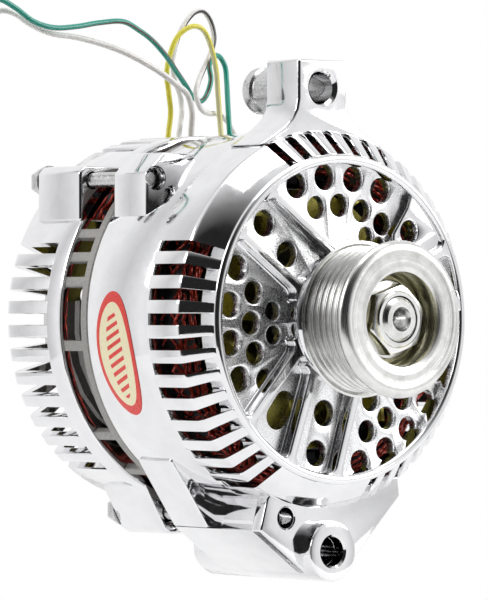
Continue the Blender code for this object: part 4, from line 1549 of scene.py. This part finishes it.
@dataclass
class Electrics:
    """The regulator, its plugs and the output stud on the back of the rear housing."""

    plug_floor: float = 50.3
    plug_top: float = 60.0
    plug_ribs: int = 3

    def build(self, shop: Shop) -> None:
        """Builds the pieces.

        Args:
            shop: the bench, the nodes and the finishes.
        """
        self.regulator(shop)
        self.plugs(shop)
        self.stud(shop)

    def regulator(self, shop: Shop) -> None:
        """The regulator: a box with cooling ribs and two screw bosses.

        Args:
            shop: the bench, the nodes and the finishes.
        """
        bench, black = shop.bench, shop.paints["black_plastic"]
        body = bench.block((8, 119.4, 24), (62, 130.5, 50), 1.2)
        fins = [bench.block((x, 129.5, 26), (x + 2.4, 138, 48), 0.5) for x in range(12, 59, 6)]
        boss = [(0, 130), (4.4, 130), (4.4, 133.4), (3.8, 134), (0, 134)]
        bosses = [bench.drum((x, 37), boss, 32) for x in (10.9, 59.4)]
        case = bench.group([body, *fins, *bosses])
        bench.finish(case, "regulator_case", Body.HOUSING, "black_plastic", black, ("regulator",))

    def plugs(self, shop: Shop) -> None:
        """The two ribbed harness plugs that stand on the regulator.

        Args:
            shop: the bench, the nodes and the finishes.
        """
        bench, black = shop.bench, shop.paints["plug_plastic"]
        for side, low, high in (("left", 11, 31), ("right", 39, 57)):
            shell = bench.block((low, 123, self.plug_floor), (high, 132, self.plug_top), 0.8)
            step = (high - low) / self.plug_ribs
            starts = [low + step * i for i in range(self.plug_ribs)]
            ribs = [bench.block((x + 1.4, 131.4, 51.2), (x + 2.6, 132.6, 58.8), 0.3) for x in starts]
            collar = bench.block((low - 0.8, 122.4, self.plug_floor), (high + 0.8, 132.6, 52.4), 0.5)
            plug, node = bench.group([shell, collar, *ribs]), f"harness_plug_{side}"
            bench.finish(plug, f"{side}_plug", Body.HOUSING, "black_plastic", black, (node,))

    @staticmethod
    def stud(shop: Shop) -> None:
        """The threaded output stud, its insulating block and its nut.

        Args:
            shop: the bench, the nodes and the finishes.
        """
        bench, finishes = shop.bench, shop.paints
        x, z = polar(STUD_RADIUS, STUD_ANGLE)
        thread = [(0, 112), (3.5, 112), (3.5, 129.5)]
        for i in range(9):
            thread += [(3.45, 130 + 1.25 * i), (3.0, 130.6 + 1.25 * i)]
        stud, steel = bench.drum((x, z), [*thread, (2.6, 142), (0, 142)], 36), finishes["bright_steel"]
        bench.finish(stud, "battery_stud", Body.HOUSING, "steel", steel, ("output_stud",))
        bush, black = bench.block((x - 9, 119.3, z - 9), (x + 9, 123, z + 9), 1.2), finishes["plug_plastic"]
        bench.carve(bush, bench.drum((x, z), [(0, 115), (3.8, 115), (3.8, 126), (0, 126)], 32))
        bench.finish(bush, "stud_insulator", Body.HOUSING, "black_plastic", black, ("output_stud_insulator",))
        nut = bench.rounded(bench.hexagon((x, 126.3, z), 7.5, 6), 0.5, 2)
        bench.carve(nut, bench.drum((x, z), [(0, 120), (3.7, 120), (3.7, 132), (0, 132)], 32))
        bench.finish(nut, "stud_nut", Body.HOUSING, "brass", finishes["brass"], ("output_stud_nut",))


@dataclass
class BrushSprings:
    """The coil springs that press the brushes down."""

    low: float = 32.5
    high: float = 40.5
    coil: float = 1.4
    wire: float = 0.26
    turns: int = 6
    steps: int = 14
    travel: float = 5.0
    places: tuple[tuple[str, float], ...] = (("front_brush_slide", 89.5), ("rear_brush_slide", 98.5))

    def build(self, shop: Shop) -> None:
        """Builds both springs, each standing at its place along Y.

        Args:
            shop: the bench, the nodes and the finishes.
        """
        for number, (joint, middle) in enumerate(self.places, 1):
            spring = self.helix(middle)
            shop.bench.hold(spring)
            bpy.ops.object.convert(target="MESH")
            spring = bpy.context.object
            name, steel = f"coil_spring_{number}", shop.paints["bright_steel"]
            shop.bench.finish(spring, name, Body.HOUSING, "steel", steel, (f"brush_spring_{number}",), 50)
            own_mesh(spring)

    def helix(self, middle: float) -> bpy.types.Object:
        """The spring's wire as a curve, with closed end turns.

        Args:
            middle: where its axis stands, along Y.

        Returns:
            The body.
        """
        curve = bpy.data.curves.new("helix", "CURVE")
        curve.dimensions, curve.bevel_depth, curve.bevel_resolution = "3D", self.wire, 1
        curve.use_fill_caps = True
        spline = curve.splines.new("POLY")
        count = self.turns * self.steps
        spline.points.add(count)
        for i, point in enumerate(spline.points):
            x, y = polar(self.coil, 360 * i / self.steps)
            rise = self.wire + (self.high - self.low - 2 * self.wire) * i / count
            point.co = (x, middle + y, self.low + rise, 1)
        obj = bpy.data.objects.new("helix", curve)
        bpy.context.scene.collection.objects.link(obj)
        return obj


# ---------------------------------------------------------------- wires


@dataclass
class Wire:
    """A loose harness wire: its route in millimetres, and what is on its far end."""

    node: str
    diameter: float
    finish: str
    slot: str
    route: list[Point]
    far_end: str = "object"
    sides: int = 14

    def centreline(self, spacing: float = 0.9) -> list[Vector]:
        """Points about this far apart on one smooth curve through the route's points.

        Args:
            spacing: the spacing, in millimetres.

        Returns:
            The points.
        """
        points = [Vector(p) for p in self.route]
        ends = [2 * points[0] - points[1], *points, 2 * points[-1] - points[-2]]
        line = []
        for before, start, end, after in zip(ends, ends[1:], ends[2:], ends[3:]):
            count = max(2, round((end - start).length / spacing))
            for i in range(count):
                t = i / count
                turn = (2 * before - 5 * start + 4 * end - after) * t**2
                bend = (-before + 3 * start - 3 * end + after) * t**3
                line.append((2 * start + (end - before) * t + turn + bend) / 2)
        return [*line, points[-1]]

    def build(self, shop: Shop) -> bpy.types.Object:
        """Sweeps the wire's round section along its line, with a UV map that runs round and along.

        Args:
            shop: the bench, the nodes and the finishes.

        Returns:
            The body.
        """
        line = self.centreline()
        radius, sides = self.diameter / 2, self.sides
        tangents = [(b - a).normalized() for a, b in zip(line, line[1:])]
        tangents.append(tangents[-1])
        across = tangents[0].orthogonal().normalized()
        points: list[Vector] = []
        lengths = [0.0]
        for here, there in zip(line, line[1:]):
            lengths.append(lengths[-1] + (there - here).length)
        for place, along in zip(line, tangents):
            across = (across - along * across.dot(along)).normalized()
            other = along.cross(across)
            ring = [math.tau * i / sides for i in range(sides)]
            points += [place + (across * math.cos(a) + other * math.sin(a)) * radius for a in ring]
        faces, uvs = [], []
        for row in range(len(line) - 1):
            for i in range(sides):
                j, low, high = (i + 1) % sides, row * sides, (row + 1) * sides
                faces.append((low + i, low + j, high + j, high + i))
                near, far = lengths[row], lengths[row + 1]
                uvs += [(i / sides, near), ((i + 1) / sides, near), ((i + 1) / sides, far), (i / sides, far)]
        last = (len(line) - 1) * sides
        faces += [tuple(reversed(range(sides))), tuple(range(last, last + sides))]
        uvs += [(0.5, 0.0)] * sides + [(0.5, lengths[-1])] * sides
        mesh = bpy.data.meshes.new(self.node)
        mesh.from_pydata(points, [], faces)
        layer = mesh.uv_layers.new(name="UVMap")
        for spot, uv in zip(layer.data, uvs):
            spot.uv = uv
        obj = bpy.data.objects.new(self.node, mesh)
        bpy.context.scene.collection.objects.link(obj)
        name = self.node.replace("_wire", "_lead")
        shop.bench.finish(obj, name, Body.HOUSING, self.slot, shop.paints[self.finish], (self.node,), 50)
        return obj

    def declare(self, shop: Shop, obj: bpy.types.Object, ends: Sequence[bpy.types.Object]) -> None:
        """Works out the wire's path in the frame and its length, and does nothing more with them.

        Args:
            shop: the bench, the nodes and the finishes.
            obj: the wire's piece; not used.
            ends: the pieces on its far end; not used.
        """
        path = [shop.bench.to_frame @ p for p in self.centreline()]
        length = sum((b - a).length for a, b in zip(path, path[1:]))


@dataclass
class Harness:
    """The four wires of the loose harness and the connectors on the two open ends."""

    wires: tuple[Wire, ...] = (
        Wire("yellow_wire", 2.2, "yellow_lead", "yellow_insulation", [
            (15, 127, 60.3), (15, 127, 68), (16, 127, 76), (17, 127, 84), (16, 127, 92), (15, 127, 100),
            (17, 127, 108), (21, 127, 115), (27, 126, 119), (33, 126, 118), (37, 126, 112), (40, 126, 102),
            (41, 126, 92), (43, 127, 80), (44, 127, 69), (44, 127, 60.3)]),
        Wire("striped_wire", 2.2, "striped_lead", "white_insulation", [
            (21, 128, 60.3), (21, 128, 68), (23, 129, 76), (26, 131, 84), (26, 132, 91), (23, 132, 98),
            (22, 132, 105), (24, 132, 113), (28, 132, 120), (33, 132, 125), (38, 132, 126), (42, 132, 122),
            (43, 131, 115), (40, 130, 108), (35, 128, 102), (30, 125, 97), (27, 123, 92), (28, 123, 88),
            (32, 125, 85), (38, 128, 84), (45, 131, 84), (52, 133, 81), (55, 131, 74), (54, 128, 67),
            (54, 128, 60.3)]),
        Wire("green_wire", 2.2, "green_lead", "green_insulation", [
            (49, 127, 60.3), (49, 127, 68), (48, 127, 76), (49, 129, 84), (51, 132, 91), (53, 135, 98),
            (53, 136, 104), (50, 136, 108), (46, 135, 108), (43, 134, 104), (43, 133, 98), (40, 132, 92),
            (35, 130, 89), (29, 128, 91), (24, 126, 95), (17, 123, 100), (10, 121, 106), (3, 121, 112),
            (-5, 120, 116), (-14, 119, 119), (-26, 119, 118), (-38, 118, 116), (-50, 117, 115),
            (-60, 117, 117), (-69, 117, 122), (-77, 117, 125), (-84, 117, 123), (-89, 117, 118),
            (-91, 117, 111)], far_end="connector"),
        Wire("white_wire", 2.5, "white_lead", "white_insulation", [
            (28, 127, 60.3), (28, 127, 68), (27, 126, 76), (25, 123, 84), (20, 120, 91), (13, 119, 95),
            (6, 119, 99), (-3, 119, 103), (-13, 120, 107), (-24, 121, 110), (-36, 121, 112),
            (-48, 121, 113), (-58, 121, 116), (-66, 121, 120), (-73, 121, 121), (-79, 121, 118),
            (-82, 121, 112), (-83, 121, 105)], far_end="connector"),
    )

    def build(self, shop: Shop) -> None:
        """Args:
            shop: the bench, the nodes and the finishes.
        """
        for wire in self.wires:
            lead = wire.build(shop)
            ends = [self.connector(shop, wire)] if wire.far_end == "connector" else []
            wire.declare(shop, lead, ends)

    def connector(self, shop: Shop, wire: Wire) -> bpy.types.Object:
        """The insulated crimp connector on a wire's open end, in line with it.

        Args:
            shop: the bench, the nodes and the finishes.
            wire: the wire.

        Returns:
            The body.
        """
        bench = shop.bench
        end, before = Vector(wire.route[-1]), Vector(wire.route[-2])
        along = (end - before).normalized()
        profile = [(0, 0), (1.9, 0), (2.2, 0.3), (2.3, 1.4), (2.75, 2.3), (2.9, 3.2), (2.9, 6.2), (2.6, 6.7)]
        profile += [(2.6, 7.4), (2.9, 7.9), (2.9, 12.2), (2.5, 13.4), (2.2, 14.8), (1.5, 15), (0, 15)]
        sleeve = bench.turned(profile, 32)
        turn = Vector((0, 1, 0)).rotation_difference(along).to_matrix().to_4x4()
        sleeve.data.transform(Matrix.Translation(end + along * 0.3) @ turn)
        name = wire.node.replace("_wire", "_connector")
        paint = shop.paints["plug_plastic"]
        return bench.finish(sleeve, name, Body.HOUSING, "black_plastic", paint, (f"{wire.node}_terminal",))


# ---------------------------------------------------------------- studio


@dataclass
class Studio:
    """The camera, the pale floor, the world and the soft lights."""

    azimuth: float = -39.7
    distance: float = 1.7557
    lens: float = 276.0
    shift_up: float = 0.0322
    offset: float = -0.0383
    floor_drop: float = 0.17

    def build(self, centre: Vector) -> None:
        """Builds the studio round the shaft's centre.

        Args:
            centre: the shaft's centre in the frame, in metres.
        """
        turn = math.radians(self.azimuth)
        back = Vector((math.sin(turn), -math.cos(turn), 0))
        right = Vector((math.cos(turn), math.sin(turn), 0))
        data = bpy.data.cameras.new("camera")
        data.lens, data.sensor_width, data.shift_y = self.lens, 36.0, self.shift_up
        data.clip_start, data.clip_end = 0.05, 20.0
        camera = bpy.data.objects.new("camera", data)
        bpy.context.scene.collection.objects.link(camera)
        camera.location = centre + back * self.distance + right * self.offset
        camera.rotation_euler = (math.pi / 2, 0, turn)
        bpy.context.scene.camera = camera
        self.floor(centre)
        self.world(back)
        self.lamp("left_box", centre + Vector((-1.5, 0.5, 0.9)), centre, 0.9, 9)
        self.lamp("right_box", centre + Vector((1.3, -1.1, 0.7)), centre, 0.9, 16)
        self.lamp("top_box", centre + Vector((0.1, -0.3, 1.6)), centre, 1.1, 10)
        bpy.context.scene.view_settings.view_transform = "Standard"

    def floor(self, centre: Vector) -> None:
        """The plain pale floor, below the part.

        Args:
            centre: the shaft's centre in the frame, in metres.
        """
        Bench.clear()
        place = centre - Vector((0, 0, MOUNT_HEIGHT * MM + self.floor_drop))
        bpy.ops.mesh.primitive_circle_add(vertices=64, radius=0.95, fill_type="NGON", location=place)
        floor = bpy.context.object
        floor.name = "studio_floor"
        paper = Moulded("floor_paper", (0.84, 0.84, 0.84), 0.8, grain=0.005, shading=0.985)
        floor.data.materials.append(paper.make())

    @staticmethod
    def lamp(name: str, place: Vector, target: Vector, size: float, power: float) -> None:
        """A square soft light that faces the part.

        Args:
            name: its name.
            place: where it is.
            target: what it faces.
            size: the length of its side, in metres.
            power: its power, in watts.
        """
        data = bpy.data.lights.new(name, "AREA")
        data.size, data.energy = size, power
        lamp = bpy.data.objects.new(name, data)
        bpy.context.scene.collection.objects.link(lamp)
        lamp.location = place
        lamp.rotation_euler = (target - place).to_track_quat("-Z", "Y").to_euler()

    @staticmethod
    def world(back: Vector) -> None:
        """White all round, with a dark patch on the side that the camera looks from.

        Args:
            back: the way from the part to the camera at rest.
        """
        world = bpy.data.worlds.new("studio")
        bpy.context.scene.world = world
        world.use_nodes = True
        tree = world.node_tree
        where = tree.nodes.new("ShaderNodeTexCoord")
        facing = tree.nodes.new("ShaderNodeVectorMath")
        facing.operation = "DOT_PRODUCT"
        facing.inputs[1].default_value = back
        tree.links.new(where.outputs["Generated"], facing.inputs[0])
        ramp = tree.nodes.new("ShaderNodeValToRGB")
        stops = ((0.0, 1.0), (0.25, 1.0), (0.4, 0.7), (0.47, 0.82))
        stops += ((0.55, 1.0), (0.68, 0.85), (0.8, 0.25), (0.88, 0.02))
        while len(ramp.color_ramp.elements) < len(stops):
            ramp.color_ramp.elements.new(0.5)
        for element, (place, value) in zip(ramp.color_ramp.elements, stops):
            element.position, element.color = place, (value, value, value * 1.005, 1)
        scale = tree.nodes.new("ShaderNodeMath")
        scale.operation = "MULTIPLY_ADD"
        scale.inputs[1].default_value, scale.inputs[2].default_value = 0.5, 0.5
        tree.links.new(facing.outputs["Value"], scale.inputs[0])
        tree.links.new(scale.outputs[0], ramp.inputs[0])
        rays = tree.nodes.new("ShaderNodeLightPath")
        plain = tree.nodes.new("ShaderNodeMix")
        plain.data_type = "RGBA"
        plain.inputs[7].default_value = (1, 1, 1, 1)
        tree.links.new(rays.outputs["Is Camera Ray"], plain.inputs[0])
        tree.links.new(ramp.outputs[0], plain.inputs[6])
        tree.links.new(plain.outputs[2], tree.nodes["Background"].inputs[0])
        tree.nodes["Background"].inputs[1].default_value = 1.0


# ---------------------------------------------------------------- assembly


def paints(centre: Vector) -> dict[str, bpy.types.Material]:
    """Makes every finish once.

    Args:
        centre: the shaft's centre in the frame, in metres.

    Returns:
        The materials by name.
    """
    plain = {
        "chrome": Chrome("bright_chrome"),
        "grained_chrome": Chrome("grained_chrome", roughness=0.16, grain=0.05),
        "cast": Cast("bare_casting"),
        "laminations": Laminated("core_laminations"),
        "enamel": Moulded("wire_enamel", (0.55, 0.045, 0.02), 0.2, 0.5, 0.4, 0.01, 400.0),
        "black_plastic": Moulded("black_moulding", (0.025, 0.025, 0.027), 0.5),
        "plug_plastic": Moulded("plug_moulding", (0.04, 0.04, 0.042), 0.42),
        "bobbin": Moulded("bobbin_moulding", (0.62, 0.58, 0.44), 0.5),
        "zinc": Moulded("yellow_zinc", (0.62, 0.56, 0.14), 0.32, 0.85, grain=0.03),
        "bright_steel": Moulded("bright_steel", (0.72, 0.72, 0.72), 0.24, 1.0, grain=0.01),
        "dark_steel": Moulded("dark_steel", (0.18, 0.18, 0.19), 0.45, 0.9),
        "brass": Moulded("plain_brass", (0.78, 0.58, 0.3), 0.28, 1.0),
        "carbon": Moulded("pressed_carbon", (0.03, 0.03, 0.03), 0.6),
        "label": Sticker("label_print"),
        # The yellow lead's pale stripe is a painted highlight running along the wire.
        "yellow_lead": Insulation("yellow_lead_cover_painted_highlight", (0.78, 0.7, 0.06), (0.82, 0.78, 0.42), 0.3, 0.004),
        "striped_lead": Insulation("striped_lead_cover", (0.84, 0.82, 0.8), (0.02, 0.02, 0.02), 0.2, 0.006),
        "green_lead": Insulation("green_lead_cover", (0.0, 0.3, 0.22), (0.12, 0.03, 0.03), 0.1, 0.004),
        "white_lead": Insulation("white_lead_cover", (0.84, 0.82, 0.79)),
    }
    made = {name: finish.make() for name, finish in plain.items()}
    turned = {
        "turned_bright": Turned("turned_steel"),
        # Darker olive steel for the pulley's recess: painted shade.
        "recess": Turned("recess_painted_shade_steel", (0.5, 0.48, 0.36), 0.25, stain=(0.36, 0.34, 0.22)),
        "nut_steel": Turned("nut_steel", (0.8, 0.8, 0.79), 0.14, 1.2, 0.005, stain=(0.7, 0.7, 0.68)),
    }
    made.update({name: finish.make(centre) for name, finish in turned.items()})
    return made


def redress_inner_nodes(shop: Shop) -> None:
    """Gives the CAD nodes that stay their finishes.

    Args:
        shop: the bench, the nodes and the finishes.
    """
    shop.redress("zinc", "front_fan", "rear_fan")
    shop.redress("dark_steel", "front_pole_claws", "rear_pole_claws", "bearing_retainer")
    shop.redress("bobbin", "field_bobbin")
    shop.redress("enamel", "field_coil")
    shop.redress("brass", "front_slip_ring", "rear_slip_ring")
    shop.redress("black_plastic", "slip_ring_hub", "brush_holder")
    shop.redress("carbon", "brush_1", "brush_2")
    shop.redress("cast", "positive_rectifier_plate", "negative_rectifier_plate")
    steel = ["shaft_collar", "front_bearing_balls", "rear_bearing_balls"]
    steel += [f"{end}_bearing_{race}_race" for end in ("front", "rear") for race in ("inner", "outer")]
    steel += [f"retainer_screw_{i}" for i in (1, 2, 3)] + [f"diode_{i}" for i in range(1, 7)]
    shop.redress("bright_steel", *steel)


def main() -> None:
    """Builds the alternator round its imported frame."""
    logging.basicConfig(level=logging.INFO, format="%(message)s")
    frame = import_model()
    spin = next(j for j in frame["joints"] if j["name"] == "rotor_spin")
    centre = Vector(spin["pos_m"])
    shop = Shop(Bench(centre), frame["nodes"], paints(centre))
    Studio().build(centre)
    Harness().build(shop)
    parts = (FrontHousing(), RearHousing(), SpacerRing(), Stator(), PulleySet(), EarBushing(), Label())
    for part in (*parts, ThroughBolts(), Electrics(), BrushSprings()):
        part.build(shop)
    redress_inner_nodes(shop)


if __name__ == "__main__":
    main()
